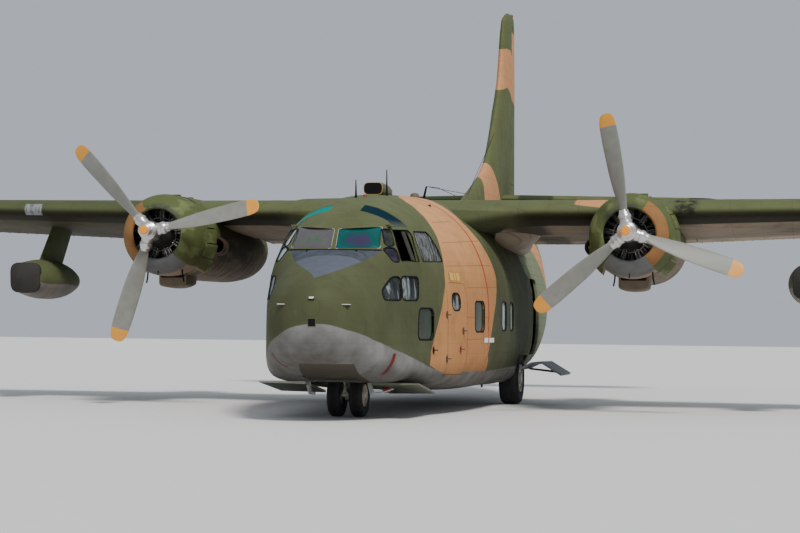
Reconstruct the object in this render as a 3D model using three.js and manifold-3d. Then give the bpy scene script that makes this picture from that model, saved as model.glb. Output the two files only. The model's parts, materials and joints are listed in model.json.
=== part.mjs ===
// Twin-propeller military transport aircraft standing on its wheels, in millimetres, +Z up.
// A station is a distance aft of the nose tip; the nose points to -Y and the port wing to +X.
import * as THREE from 'three';
import Module from 'manifold-3d';

const wasm = await Module();
wasm.setup();

// Driving dimensions
const length = 23240;
const halfLength = length / 2;
const seam = 1;
const clearance = 12;
const wall = 90;
const engineX = 4750;
const podX = 8150;
const mainWheelX = 1830;
const noseGearStation = 3050;
const mainGearStation = 10770;
const propStation = 5830;
const hubZ = 3490;
const propRadius = 2300;
const bladeAnglesPort = [101, 221, 341];
const bladeAnglesStarboard = [133, 253, 13];
const noseTyre = { radius: 392, width: 240, rim: 205, spacing: 410 };
const mainTyre = { radius: 560, width: 430, rim: 300 };
const noseWell = { half: 580, from: 2320, to: 3880, top: 1000 };
const frontWell = { half: 492, from: 1208, to: 2300, top: 1100 };
const mainWell = { near: 1420, far: 2400, from: 10080, to: 11460, top: 1300 };
const wellBottom = 200;
const crewDoorway = { near: 1200, far: 2400, from: 3800, to: 4800, low: 760, high: 2460 };
const sideDoorway = { near: 1300, far: 2400, from: 11760, to: 12780, low: 1060, high: 2750 };
const doorSlide = 1060;
const doorLap = 40;
const deck = { from: 1900, to: 4900, low: 1960, high: 2040, stairs: 900 };
const floor = { from: 5120, to: 14300, low: 900, high: 1040, half: 1395, wideFrom: 11600 };
const rampZone = { from: 14900, to: 17700, split: 17770, end: 20600, half: 1180 };

// Fuselage sections: station, half width, height of the widest line, top, bottom, upper and lower squareness
const bodyTable = [
  { station: 0, half: 60, wide: 1800, top: 1870, bottom: 1730, upper: 2, lower: 2 },
  { station: 60, half: 320, wide: 1780, top: 2120, bottom: 1440, upper: 2, lower: 2.1 },
  { station: 220, half: 570, wide: 1740, top: 2300, bottom: 1180, upper: 2, lower: 2.4 },
  { station: 560, half: 820, wide: 1680, top: 2480, bottom: 960, upper: 2.1, lower: 3 },
  { station: 1050, half: 990, wide: 1640, top: 2700, bottom: 800, upper: 2.3, lower: 4.2 },
  { station: 1700, half: 1170, wide: 1620, top: 2970, bottom: 700, upper: 2.5, lower: 5.6 },
  { station: 2080, half: 1285, wide: 1620, top: 3440, bottom: 655, upper: 2.6, lower: 6.4 },
  { station: 2700, half: 1430, wide: 1640, top: 3760, bottom: 620, upper: 2.5, lower: 7 },
  { station: 3400, half: 1590, wide: 1660, top: 3960, bottom: 580, upper: 2.35, lower: 6.6 },
  { station: 4500, half: 1820, wide: 1740, top: 4110, bottom: 500, upper: 2.2, lower: 5.4 },
  { station: 5800, half: 2010, wide: 1840, top: 4200, bottom: 420, upper: 2.2, lower: 4.6 },
  { station: 7600, half: 2120, wide: 1900, top: 4280, bottom: 380, upper: 2.2, lower: 4.2 },
  { station: 9600, half: 2140, wide: 1900, top: 4310, bottom: 385, upper: 2.2, lower: 4 },
  { station: 11500, half: 2150, wide: 1900, top: 4330, bottom: 420, upper: 2.2, lower: 3.6 },
  { station: 13400, half: 2120, wide: 1950, top: 4360, bottom: 470, upper: 2.2, lower: 3.2 },
  { station: 15000, half: 2030, wide: 2080, top: 4430, bottom: 760, upper: 2.2, lower: 2.7 },
  { station: 17000, half: 1730, wide: 2620, top: 4560, bottom: 1560, upper: 2.2, lower: 2.4 },
  { station: 19200, half: 1240, wide: 3420, top: 4760, bottom: 2560, upper: 2.2, lower: 2.2 },
  { station: 21200, half: 760, wide: 4120, top: 4960, bottom: 3440, upper: 2.2, lower: 2.1 },
  { station: 22500, half: 420, wide: 4520, top: 5060, bottom: 4020, upper: 2.1, lower: 2 },
  { station: 23120, half: 110, wide: 4740, top: 4900, bottom: 4560, upper: 2, lower: 2 },
];

// Wing section: fraction of the chord aft, upper and lower surface as fractions of the chord
const wingFoil = [
  { aft: 0, upper: 0, lower: 0 },
  { aft: 0.02, upper: 0.027, lower: -0.026 },
  { aft: 0.08, upper: 0.055, lower: -0.045 },
  { aft: 0.2, upper: 0.07, lower: -0.066 },
  { aft: 0.35, upper: 0.073, lower: -0.082 },
  { aft: 0.55, upper: 0.049, lower: -0.092 },
  { aft: 0.73, upper: 0.002, lower: -0.1 },
  { aft: 1, upper: -0.109, lower: -0.115 },
];
const tailFoil = [
  { aft: 0, upper: 0, lower: 0 },
  { aft: 0.03, upper: 0.025, lower: -0.025 },
  { aft: 0.12, upper: 0.044, lower: -0.044 },
  { aft: 0.3, upper: 0.052, lower: -0.052 },
  { aft: 0.62, upper: 0.034, lower: -0.034 },
  { aft: 1, upper: 0.004, lower: -0.004 },
];
const wingHinge = 0.73;
const wingRoot = 2120;
const tailHinge = 0.64;

// Wing stations out from the centre line: leading edge station, chord, height of the leading edge
const wingTable = [
  { x: 0, lead: 7600, chord: 4150, z: 3980 },
  { x: 4750, lead: 7600, chord: 4150, z: 3980 },
  { x: 16200, lead: 8460, chord: 2110, z: 4210 },
  { x: 16765, lead: 8860, chord: 1250, z: 4200 },
];
const tailTable = [
  { x: 0, lead: 20250, chord: 2800, z: 5100 },
  { x: 5300, lead: 20800, chord: 1900, z: 5075 },
  { x: 5850, lead: 21100, chord: 1250, z: 5075 },
];
// Fin stations up from the tail: leading edge, trailing edge, height
const finTable = [
  { z: 4600, lead: 14400, trail: 23150 },
  { z: 5530, lead: 17370, trail: 23240 },
  { z: 5980, lead: 18290, trail: 23210 },
  { z: 7210, lead: 19530, trail: 23130 },
  { z: 8280, lead: 20320, trail: 23110 },
  { z: 9980, lead: 20920, trail: 22930 },
  { z: 10110, lead: 21250, trail: 22900 },
  { z: 10390, lead: 22250, trail: 22760 },
];
const finTop = 10390;
const rudderBottom = 5640;
const rudderTop = 9960;
const rudderHinge = 21950;

function meshOf(positions, faces) {
  const geometry = new THREE.BufferGeometry();
  geometry.setAttribute('position', new THREE.Float32BufferAttribute(positions.flat(), 3));
  geometry.setIndex(faces.flat());
  return geometry;
}

// Signed volume tells which way the faces look; a part turned inside out is turned back
function facedOut(positions, faces) {
  let volume = 0;
  for (const [a, b, c] of faces) {
    const [p, q, r] = [positions[a], positions[b], positions[c]];
    volume += p[0] * (q[1] * r[2] - q[2] * r[1]) - p[1] * (q[0] * r[2] - q[2] * r[0]);
    volume += p[2] * (q[0] * r[1] - q[1] * r[0]);
  }
  return volume < 0 ? faces.map(([a, b, c]) => [a, c, b]) : faces;
}

// Closed skin through rings of equal point count, flat caps at both ends
function loft(rings) {
  const count = rings[0].length;
  const positions = rings.flat();
  const faces = [];
  for (let ring = 0; ring < rings.length - 1; ring += 1) {
    for (let k = 0; k < count; k += 1) {
      const next = (k + 1) % count;
      const [a, b] = [ring * count + k, ring * count + next];
      faces.push([a, b, b + count], [a, b + count, a + count]);
    }
  }
  const last = (rings.length - 1) * count;
  for (let k = 1; k < count - 1; k += 1) {
    faces.push([0, k + 1, k], [last, last + k, last + k + 1]);
  }
  return meshOf(positions, facedOut(positions, faces));
}

// Closed outline of [radius, along] points turned round the Y axis
function revolve(outline, segments) {
  const positions = [];
  const faces = [];
  const count = outline.length;
  for (let step = 0; step < segments; step += 1) {
    const angle = (step / segments) * Math.PI * 2;
    for (const [radius, along] of outline) {
      positions.push([radius * Math.cos(angle), along, radius * Math.sin(angle)]);
    }
  }
  for (let step = 0; step < segments; step += 1) {
    const [here, there] = [step * count, ((step + 1) % segments) * count];
    for (let k = 0; k < count; k += 1) {
      const next = (k + 1) % count;
      faces.push([here + k, there + k, there + next], [here + k, there + next, here + next]);
    }
  }
  return meshOf(positions, facedOut(positions, faces));
}

// Solid of [radius, along] points turned round the Y axis, closed on the axis at both ends
function turned(outline, segments) {
  const rings = outline.map(([radius, along]) => ringRound(radius, along, segments));
  return loft(rings);
}

function ringRound(radius, along, segments) {
  const points = [];
  for (let step = 0; step < segments; step += 1) {
    const angle = (step / segments) * Math.PI * 2;
    points.push([radius * Math.cos(angle), along, radius * Math.sin(angle)]);
  }
  return points;
}

// Flat outline of [x, z] points drawn out between two stations
function plate(outline, from, to) {
  const shape = new THREE.Shape(outline.map(([x, z]) => new THREE.Vector2(x, z)));
  const geometry = new THREE.ExtrudeGeometry(shape, { depth: to - from, bevelEnabled: false });
  return geometry.rotateX(Math.PI / 2).translate(0, to - halfLength, 0);
}

function box(x0, x1, s0, s1, z0, z1) {
  const geometry = new THREE.BoxGeometry(x1 - x0, s1 - s0, z1 - z0);
  geometry.translate((x0 + x1) / 2, (s0 + s1) / 2 - halfLength, (z0 + z1) / 2);
  return geometry;
}

function rod(from, to, radius, sides = 12) {
  const start = new THREE.Vector3(...from);
  const end = new THREE.Vector3(...to);
  const along = end.clone().sub(start);
  const geometry = new THREE.CylinderGeometry(radius, radius, along.length(), sides);
  geometry.applyQuaternion(new THREE.Quaternion().setFromUnitVectors(new THREE.Vector3(0, 1, 0), along.normalize()));
  geometry.translate(...start.add(end).multiplyScalar(0.5).toArray());
  return geometry;
}

function at(x, station, z) {
  return [x, station - halfLength, z];
}

// Welded positions and index for the solid kernel
function welded(geometry) {
  const source = geometry.index ? geometry.toNonIndexed() : geometry;
  const raw = source.getAttribute('position');
  const keys = new Map();
  const positions = [];
  const index = [];
  for (let k = 0; k < raw.count; k += 1) {
    const point = [raw.getX(k), raw.getY(k), raw.getZ(k)];
    const key = point.map((value) => Math.round(value * 1000)).join(',');
    if (!keys.has(key)) {
      keys.set(key, positions.length / 3);
      positions.push(...point);
    }
    index.push(keys.get(key));
  }
  const kept = [];
  for (let k = 0; k < index.length; k += 3) {
    const [a, b, c] = [index[k], index[k + 1], index[k + 2]];
    if (a !== b && b !== c && c !== a) kept.push(a, b, c);
  }
  return { positions, index: kept };
}

function solid(geometry) {
  const { positions, index } = welded(geometry);
  const mesh = new wasm.Mesh({
    numProp: 3,
    vertProperties: new Float32Array(positions),
    triVerts: new Uint32Array(index),
  });
  return new wasm.Manifold(mesh);
}

function skin(body) {
  const mesh = body.getMesh();
  const geometry = new THREE.BufferGeometry();
  geometry.setAttribute('position', new THREE.BufferAttribute(new Float32Array(mesh.vertProperties), 3));
  geometry.setIndex(new THREE.BufferAttribute(new Uint32Array(mesh.triVerts), 1));
  return geometry;
}

function join(...geometries) {
  return skin(geometries.map(solid).reduce((sum, next) => sum.add(next)));
}

function cut(geometry, ...tools) {
  return skin(tools.map(solid).reduce((body, tool) => body.subtract(tool), solid(geometry)));
}

function common(first, second) {
  return skin(solid(first).intersect(solid(second)));
}

// The largest piece only, where a cut leaves loose crumbs
function mainPiece(geometry) {
  const pieces = solid(geometry).decompose();
  pieces.sort((first, second) => second.volume() - first.volume());
  return skin(pieces[0]);
}

function mirrored(geometry) {
  const copy = (geometry.index ? geometry.toNonIndexed() : geometry.clone()).scale(-1, 1, 1);
  const places = copy.getAttribute('position');
  for (let k = 0; k < places.count; k += 3) {
    const [x, y, z] = [places.getX(k + 1), places.getY(k + 1), places.getZ(k + 1)];
    places.setXYZ(k + 1, places.getX(k + 2), places.getY(k + 2), places.getZ(k + 2));
    places.setXYZ(k + 2, x, y, z);
  }
  return copy;
}

function blend(table, key, value) {
  const last = table.length - 1;
  let low = 0;
  while (low < last - 1 && table[low + 1][key] < value) low += 1;
  const [a, b] = [table[low], table[low + 1]];
  const part = (value - a[key]) / (b[key] - a[key]);
  const row = {};
  for (const name of Object.keys(a)) row[name] = a[name] + (b[name] - a[name]) * part;
  return row;
}

// Superellipse section of the fuselage, drawn in by an inset
function bodyRing(station, inset) {
  const row = blend(bodyTable, 'station', station);
  const points = [];
  const sides = 32;
  for (let step = 0; step < sides; step += 1) {
    const angle = (step / sides) * Math.PI * 2;
    const [across, up] = [Math.cos(angle), Math.sin(angle)];
    const power = 2 / (up >= 0 ? row.upper : row.lower);
    const reach = (up >= 0 ? row.top - row.wide : row.wide - row.bottom) - inset;
    const x = Math.sign(across) * Math.abs(across) ** power * Math.max(row.half - inset, 5);
    const z = row.wide + Math.sign(up) * Math.abs(up) ** power * Math.max(reach, 5);
    points.push(at(x, station, z));
  }
  return points;
}

function bodySolid(from, to, inset) {
  const inner = bodyTable.map((row) => row.station).filter((station) => station > from + 1 && station < to - 1);
  return loft([from, ...inner, to].map((station) => bodyRing(station, inset)));
}

function bodyShell(from, to, thickness, endCap) {
  const outer = bodySolid(from, to, 0);
  const hollow = bodySolid(endCap ? from + 380 : from - 5, to + 5, thickness);
  return cut(outer, hollow);
}

// Outline of an aerofoil between two fractions of its chord, grown by a margin; a moving piece has a pointed front
function foilRing(foil, row, from, to, grow, place, pointed) {
  const cuts = [from, ...foil.map((point) => point.aft).filter((aft) => aft > from && aft < to), to];
  const surface = (aft, side) => blend(foil, 'aft', Math.min(aft, 1))[side];
  const stationOf = (aft) => row.lead + aft * row.chord;
  const upper = cuts.map((aft) => place(row, stationOf(aft), surface(aft, 'upper') * row.chord + grow));
  const lower = cuts.map((aft) => place(row, stationOf(aft), surface(aft, 'lower') * row.chord - grow));
  if (pointed === 0) return [...upper, ...lower.reverse()];
  const middle = (surface(from, 'upper') * (1 - pointed) + surface(from, 'lower') * pointed) * row.chord;
  const depth = (surface(from, 'upper') - surface(from, 'lower')) * row.chord * 0.34;
  const [first, last] = [upper[0], lower[0]];
  upper[0] = [first[0], first[1] + depth, first[2]];
  lower[0] = [last[0], last[1] + (pointed < 1 ? depth : 0), last[2]];
  return [place(row, stationOf(from), middle), ...upper, ...lower.reverse()];
}

function flatPlace(row, station, rise) {
  return at(row.x, station, row.z + rise);
}

function flatPanel(foil, table, x0, x1, from, to, grow, pointed = 0) {
  const inner = table.map((row) => row.x).filter((x) => x > x0 + 1 && x < x1 - 1);
  const rows = [x0, ...inner, x1].map((x) => blend(table, 'x', x));
  return loft(rows.map((row) => {
    const ring = foilRing(foil, row, from, to, grow, flatPlace, pointed);
    const nose = from === 0 ? grow : 0;
    return ring.map(([x, y, z], k) => [x, k === 0 || k === ring.length - 1 ? y - nose : y, z]);
  }));
}

function fuselageNose() {
  const shell = bodyShell(0, 5000, wall, true);
  const wells = [noseWell, frontWell].map(({ half, from, to, top }) => box(-half, half, from, to, wellBottom, top));
  return mainPiece(cut(shell, glazingZone(6), ...wells, throughDoorway(crewDoorway, 0)));
}

// Space of a doorway in the port wall, drawn in by a gap
function throughDoorway({ near, far, from, to, low, high }, gap) {
  return box(near, far, from + gap, to - gap, low + gap, high - gap);
}

// Band of space round the cockpit that the panes fill
function glazingZone(extra) {
  const far = 2200;
  const outline = [
    { station: 1640 - extra, z: 3430 + extra },
    { station: 1640 - extra, z: 2930 - extra },
    { station: 1900, z: 2770 - extra },
    { station: 3950 + extra, z: 2770 - extra },
    { station: 3950 + extra, z: 3430 + extra },
  ];
  return loft([-far, far].map((x) => outline.map(({ station, z }) => at(x, station, z))));
}

function cockpitGlazing() {
  const skinBand = cut(bodySolid(1300, 4400, 10), bodySolid(1290, 4410, 34));
  return mainPiece(common(skinBand, glazingZone(-3)));
}

function crewDoor() {
  const gap = 8;
  const { from, to } = crewDoorway;
  const panel = cut(bodySolid(from, to, 0), bodySolid(from - 100, to + 100, wall - 20));
  return mainPiece(common(panel, throughDoorway(crewDoorway, gap)));
}

function wingCut() {
  const port = flatPanel(wingFoil, wingTable, 0, 2600, 0, 1, 3);
  return join(port, mirrored(port));
}

function fuselageCentre() {
  const shell = bodyShell(5000 + seam, 13300, wall, false);
  const { near, far, from, to, top } = mainWell;
  const well = box(near, far, from, to, wellBottom, top);
  const doorway = throughDoorway(sideDoorway, 0);
  return mainPiece(cut(shell, wingCut(), well, mirrored(well), doorway, mirrored(doorway)));
}

function fuselageAft() {
  const shell = bodyShell(13300 + seam, 20600, wall - 30, false);
  return mainPiece(cut(shell, rampCut(0)));
}

// Space of the ramp and the upper cargo door under the tail
function rampCut(gap) {
  const half = rampZone.half - gap;
  const rows = [
    { station: rampZone.from + gap, half },
    { station: 16500, half },
    { station: 18600, half: 960 - gap },
    { station: rampZone.end + 10, half: 560 - gap },
  ];
  return loft(rows.map((row) => {
    const line = blend(bodyTable, 'station', row.station);
    const top = line.bottom + (line.wide - line.bottom) * 0.62;
    return [at(-row.half, row.station, line.bottom - 400), at(row.half, row.station, line.bottom - 400),
      at(row.half, row.station, top), at(-row.half, row.station, top)];
  }));
}

function underPanel(from, to) {
  const skinPanel = cut(bodySolid(from, to, 0), bodySolid(from - 5, to + 5, wall - 30));
  return mainPiece(common(skinPanel, rampCut(clearance)));
}

function tailCone() {
  const shell = cut(bodySolid(20600 + seam, 23120, 0), bodySolid(20590, 22500, wall - 30));
  return mainPiece(cut(shell, tailRoot(3)));
}

function tailRoot(grow) {
  const port = flatPanel(tailFoil, tailTable, 0, 1400, 0, tailHinge, grow);
  return join(port, mirrored(port));
}

// Solid as long as a stretch of the hull, with the section of one station all along
function evenSolid(station, from, to, inset) {
  const ring = bodyRing(station, inset);
  return loft([from, to].map((end) => ring.map(([x, , z]) => at(x, end, z))));
}

// Sheet on rails inside the wall, behind its doorway when closed; its curve is that of the hull where it slides to
function sideDoor(slide) {
  const { near, far, from, to, low, high } = sideDoorway;
  const [start, end] = [from - doorLap, to + doorLap];
  const station = end + doorSlide + 10;
  const sheet = cut(evenSolid(station, start, end, wall), evenSolid(station, start - 10, end + 10, wall + 40));
  const door = common(sheet, box(near, far, start, end, low, high + doorLap));
  return door.translate(0, slide, 0);
}

// Narrow between the wheel wells, as wide as the hull behind them
function cargoFloor() {
  const { from, to, low, high, half, wideFrom } = floor;
  const narrow = box(-half, half, from, wideFrom + 10, low, high);
  const wide = box(-2200, 2200, wideFrom, to, low, high);
  return common(join(narrow, wide), bodySolid(5000, 14900, wall + 4));
}

// The stair well beside the crew door is left open
function flightDeck() {
  const { from, to, low, high, stairs } = deck;
  const slab = common(bodySolid(1500, 4990, wall + 30), box(-1800, 1800, from, to, low, high));
  const bulkhead = common(bodySolid(4820, 4990, wall + 4), box(-2200, 2200, 4860, 4960, high + 1, 4300));
  const aisle = box(-330, 330, 4700, 5100, high + 1, 3700);
  const well = box(stairs, 2200, crewDoorway.from - 100, to - 60, low - 100, high + 700);
  return mainPiece(cut(join(slab, bulkhead), aisle, well));
}

function instrumentPanel() {
  return box(-720, 720, 1960, 2160, 2050, 2830);
}

// Boxes stand over the origin: across, along and height from low to high, and the shift aft
function seat() {
  const blocks = [
    { across: 520, along: 500, low: 258, high: 418, aft: 0 },
    { across: 500, along: 120, low: 358, high: 1108, aft: 260 },
    { across: 240, along: 300, low: 0, high: 308, aft: 0 },
  ];
  return join(...blocks.map(({ across, along, low, high, aft }) => {
    return new THREE.BoxGeometry(across, along, high - low).translate(0, aft, (low + high) / 2);
  }));
}

function wingCentre() {
  const half = flatPanel(wingFoil, wingTable, 0, 5640, 0, wingHinge - 0.01, 0);
  const root = flatPanel(wingFoil, wingTable, 0, wingRoot, 0.6, 1, 0);
  return join(half, root, mirrored(half), mirrored(root));
}

function wingOuter() {
  const front = flatPanel(wingFoil, wingTable, 5640 + seam, 16200, 0, wingHinge - 0.01, 0);
  const tip = flatPanel(wingFoil, wingTable, 16190, 16765, 0, 1, 0);
  return join(front, tip);
}

// A flap hangs from its lower front edge, an aileron from the middle of its front
function trailingPiece(x0, x1, pointed) {
  return flatPanel(wingFoil, wingTable, x0, x1, wingHinge, 1, 0, pointed);
}

// Nacelle sections: station, half width, top and bottom
const nacelleTable = [
  { station: 7330, half: 835, top: 4300, bottom: 2600 },
  { station: 9000, half: 835, top: 4310, bottom: 2580 },
  { station: 10800, half: 815, top: 4180, bottom: 2590 },
  { station: 11800, half: 750, top: 4050, bottom: 2650 },
  { station: 12500, half: 590, top: 3900, bottom: 2800 },
  { station: 12900, half: 370, top: 3690, bottom: 3020 },
  { station: 13050, half: 110, top: 3450, bottom: 3270 },
];

function nacelleRing(row) {
  const points = [];
  const sides = 28;
  const middle = (row.top + row.bottom) / 2;
  for (let step = 0; step < sides; step += 1) {
    const angle = (step / sides) * Math.PI * 2;
    points.push(at(engineX + row.half * Math.cos(angle), row.station, middle + (row.top - middle) * Math.sin(angle)));
  }
  return points;
}

function nacelle() {
  const hull = loft(nacelleTable.map(nacelleRing));
  const wing = flatPanel(wingFoil, wingTable, 3500, 6100, 0, wingHinge - 0.009, 3);
  const trail = flatPanel(wingFoil, wingTable, 3920, 5710, wingHinge - 0.008, 1, 0);
  return mainPiece(cut(join(hull, trail), wing));
}

function cowl() {
  const outline = [
    [500, 0], [530, -45], [610, -25], [715, 80], [795, 240], [835, 490], [835, 800], [812, 1080],
    [782, 1080], [803, 780], [803, 500], [765, 270], [675, 130], [585, 70], [525, 60],
  ];
  return revolve(outline, 28);
}

function engine() {
  const outline = [[60, -420], [150, -420], [190, -180], [330, -60], [600, 0], [620, 500], [500, 700], [420, 909], [60, 909]];
  return turned(outline, 20);
}

function blade(angle) {
  const rows = [
    { out: 120, chord: 190, thick: 150, twist: 60 },
    { out: 520, chord: 260, thick: 90, twist: 48 },
    { out: 1200, chord: 380, thick: 50, twist: 34 },
    { out: 2050, chord: 360, thick: 26, twist: 22 },
    { out: propRadius, chord: 220, thick: 16, twist: 20 },
  ];
  const rings = rows.map((row) => {
    const turn = THREE.MathUtils.degToRad(row.twist);
    const corners = [[-0.5, 0], [-0.2, 0.5], [0.2, 0.5], [0.5, 0], [0.2, -0.5], [-0.2, -0.5]];
    return corners.map(([along, across]) => {
      const [u, v] = [along * row.chord, across * row.thick];
      return [u * Math.cos(turn) - v * Math.sin(turn), u * Math.sin(turn) + v * Math.cos(turn), row.out];
    });
  });
  return loft(rings).rotateY(THREE.MathUtils.degToRad(90 - angle));
}

function propeller(angles) {
  const hub = turned([[40, -440], [110, -400], [125, -210], [185, -190], [200, 90], [120, 140]], 20);
  return join(hub, ...angles.map(blade));
}

const podPlace = at(podX, 7700, 2580);

function jetPod(grow = 0) {
  const outline = [
    [60, 60], [290, 60], [320, 0], [345, 20], [385, 330], [425, 850], [425, 1350], [370, 1950], [250, 2500],
    [200, 2650], [60, 2650],
  ];
  const grown = outline.map(([radius, along]) => [radius + grow, along]);
  return turned(grown, 24);
}

function pylon() {
  const rows = [
    { z: 2900, lead: 8350, trail: 9750, half: 70 },
    { z: 3700, lead: 9190, trail: 10390, half: 90 },
  ];
  const strut = loft(rows.map((row) => {
    const middle = (row.lead + row.trail) / 2;
    return [at(podX, row.lead, row.z), at(podX + row.half, row.lead + 200, row.z), at(podX + row.half, middle + 200, row.z),
      at(podX, row.trail, row.z), at(podX - row.half, middle + 200, row.z), at(podX - row.half, row.lead + 200, row.z)];
  }));
  return mainPiece(cut(strut, flatPanel(wingFoil, wingTable, 7600, 8700, 0, 1, 3), jetPod(2).translate(...podPlace)));
}

// Fin or rudder between two heights; the hinge line stands upright
function finPanel(z0, z1, front, back, grow) {
  const inner = finTable.map((row) => row.z).filter((z) => z > z0 + 1 && z < z1 - 1);
  const rows = [z0, ...inner, z1].map((z) => blend(finTable, 'z', z));
  return loft(rows.map((row) => {
    const chord = row.trail - row.lead;
    const slim = Math.min(1, 3400 / chord);
    const post = (rudderHinge - row.lead) / chord;
    const gap = clearance / chord;
    const ahead = [0, 0.03, 0.12, 0.3, back ? 0.62 : post - gap];
    const cuts = front ? [...ahead, ...(back ? [1] : [])] : [post + gap, post + gap * 6, 1];
    const side = (aft, sign) => {
      const pointedFront = !front && aft < post + gap * 2;
      const half = pointedFront ? 0 : blend(tailFoil, 'aft', aft).upper * chord * slim + grow;
      return at(sign * half, row.lead + aft * chord, row.z);
    };
    return [...cuts.map((aft) => side(aft, 1)), ...cuts.slice(1).reverse().map((aft) => side(aft, -1))];
  }));
}

function fin() {
  const lower = finPanel(4620, rudderBottom - clearance, true, true, 0);
  const middle = finPanel(rudderBottom - clearance - 5, rudderTop + clearance + 5, true, false, 0);
  const cap = finPanel(rudderTop + clearance, finTop, true, true, 0);
  return mainPiece(cut(join(lower, middle, cap), bodySolid(13400, 23120, -2), tailRoot(3)));
}

function rudder() {
  return finPanel(rudderBottom, rudderTop, false, true, 0);
}

function tailplane() {
  const port = flatPanel(tailFoil, tailTable, 0, 5300, 0, tailHinge - 0.008, 0);
  const tip = flatPanel(tailFoil, tailTable, 5290, 5850, 0, 1, 0);
  const half = join(port, tip);
  return join(half, mirrored(half));
}

function elevator() {
  return flatPanel(tailFoil, tailTable, 640, 5255, tailHinge, 1, 0, 0.5);
}

function tyre({ radius, width, rim }) {
  const half = width / 2;
  const outline = [
    [rim, -half * 0.62], [rim + 30, -half * 0.85], [radius * 0.84, -half], [radius * 0.95, -half * 0.82],
    [radius, -half * 0.45], [radius, half * 0.45], [radius * 0.95, half * 0.82], [radius * 0.84, half],
    [rim + 30, half * 0.85], [rim, half * 0.62],
  ];
  return revolve(outline, 28).rotateZ(Math.PI / 2);
}

function rimOf({ width, rim }, bore) {
  const half = width / 2 * 0.62;
  const outline = [[bore, -half * 0.5], [rim * 0.8, -half * 0.5], [rim - 1, -half], [rim - 1, half], [rim * 0.8, half * 0.5], [bore, half * 0.5]];
  return revolve(outline, 28).rotateZ(Math.PI / 2);
}

function noseWheels() {
  const half = noseTyre.spacing / 2;
  const rims = [1, -1].map((side) => rimOf(noseTyre, 30).translate(side * half, 0, 0));
  const axle = rod([-half - 60, 0, 0], [half + 60, 0, 0], 40, 28);
  return join(...rims, axle);
}

function noseFork() {
  const s = noseGearStation;
  const stem = box(-42, 42, s - 80, s + 80, noseTyre.radius - 80, 600);
  const bore = rod(at(-60, s, noseTyre.radius), at(60, s, noseTyre.radius), 52, 20);
  const piston = rod(at(0, s, 590), at(0, s, 760), 60, 16);
  return join(cut(stem, bore), piston);
}

function noseLeg() {
  const s = noseGearStation;
  const barrel = rod(at(0, s, 772), at(0, s, 1500), 95, 16);
  const trunnion = rod(at(-430, s, 1440), at(430, s, 1440), 55);
  const drag = rod(at(0, s + 20, 1050), at(0, s + 900, 1440), 45);
  return join(barrel, trunnion, drag);
}


// Main gear of the port side
function mainLeg() {
  const axle = rod(at(1500, mainGearStation, mainTyre.radius), at(2030, mainGearStation, mainTyre.radius), 55);
  const leg = rod(at(1520, mainGearStation, 520), at(1500, mainGearStation, 1500), 80, 16);
  const brace = rod(at(1500, mainGearStation, 900), at(1500, mainGearStation + 620, 1400), 40);
  return join(axle, leg, brace);
}

function mainGearDoor() {
  const outline = [
    [2125, 800], [2360, 920], [2600, 930], [3020, 680], [3000, 640], [2600, 885], [2370, 875], [2135, 755],
  ];
  return plate(outline, 9950, 11600);
}

// Doors of the nose well: they hang open, sloping down aft
function noseSideDoor() {
  const rows = [{ station: 2250, top: 645 }, { station: 3800, top: 450 }];
  return mainPiece(cut(loft(rows.map(({ station, top }) => [
    at(600, station, top), at(1450, station, top), at(1450, station, top - 30), at(600, station, top - 45),
  ])), bodySolid(2000, 4200, -2)));
}

function noseFrontDoor() {
  const sheet = cut(bodySolid(1216, 2240, 30), bodySolid(1200, 2260, 62));
  return mainPiece(common(sheet, box(-484, 484, 1216, 2240, 300, 1080)));
}

function roofScoop() {
  const body = box(-185, 185, 4760, 5650, 4100, 4370);
  return mainPiece(cut(body, bodySolid(4500, 5800, -2)));
}

// Paints and metals
const finishes = {
  camouflage: { color: 0x5a6442, roughness: 0.6, metalness: 0 },
  bellyGrey: { color: 0x8f9294, roughness: 0.55, metalness: 0 },
  glazing: { color: 0x3d6468, roughness: 0.08, metalness: 0, transparent: true, opacity: 0.6 },
  doorGrey: { color: 0x454c57, roughness: 0.45, metalness: 0.1 },
  wellBrown: { color: 0x4b443b, roughness: 0.7, metalness: 0 },
  cabinGreen: { color: 0x5d6a5a, roughness: 0.7, metalness: 0 },
  gearGrey: { color: 0xa7aaac, roughness: 0.4, metalness: 0.3 },
  rubber: { color: 0x1b1b1c, roughness: 0.85, metalness: 0 },
  engineMetal: { color: 0x55524c, roughness: 0.45, metalness: 0.7 },
  bladeGrey: { color: 0x7d8082, roughness: 0.4, metalness: 0.3 },
  blackTrim: { color: 0x1a1a1b, roughness: 0.5, metalness: 0 },
};

function onePiece(group, name, finish, build, place = [0, 0, 0]) {
  return [{ group, name, finish, build, place }];
}

function bothSides(group, name, finish, build, place = [0, 0, 0]) {
  const [x, y, z] = place;
  return [
    { group, name: `${name}_port`, finish, build, place },
    { group, name: `${name}_starboard`, finish, build: () => mirrored(build()), place: [-x, y, z] },
  ];
}

const wheelPlace = at(mainWheelX, mainGearStation, mainTyre.radius);
const nosePlace = at(0, noseGearStation, noseTyre.radius);
const noseTyrePlace = at(noseTyre.spacing / 2, noseGearStation, noseTyre.radius);
const cowlPlace = at(engineX, 6240, 3455);
const enginePlace = at(engineX, 6420, 3475);
const hubPlace = at(engineX, propStation, hubZ);
const [hubX, hubY] = hubPlace;

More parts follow.
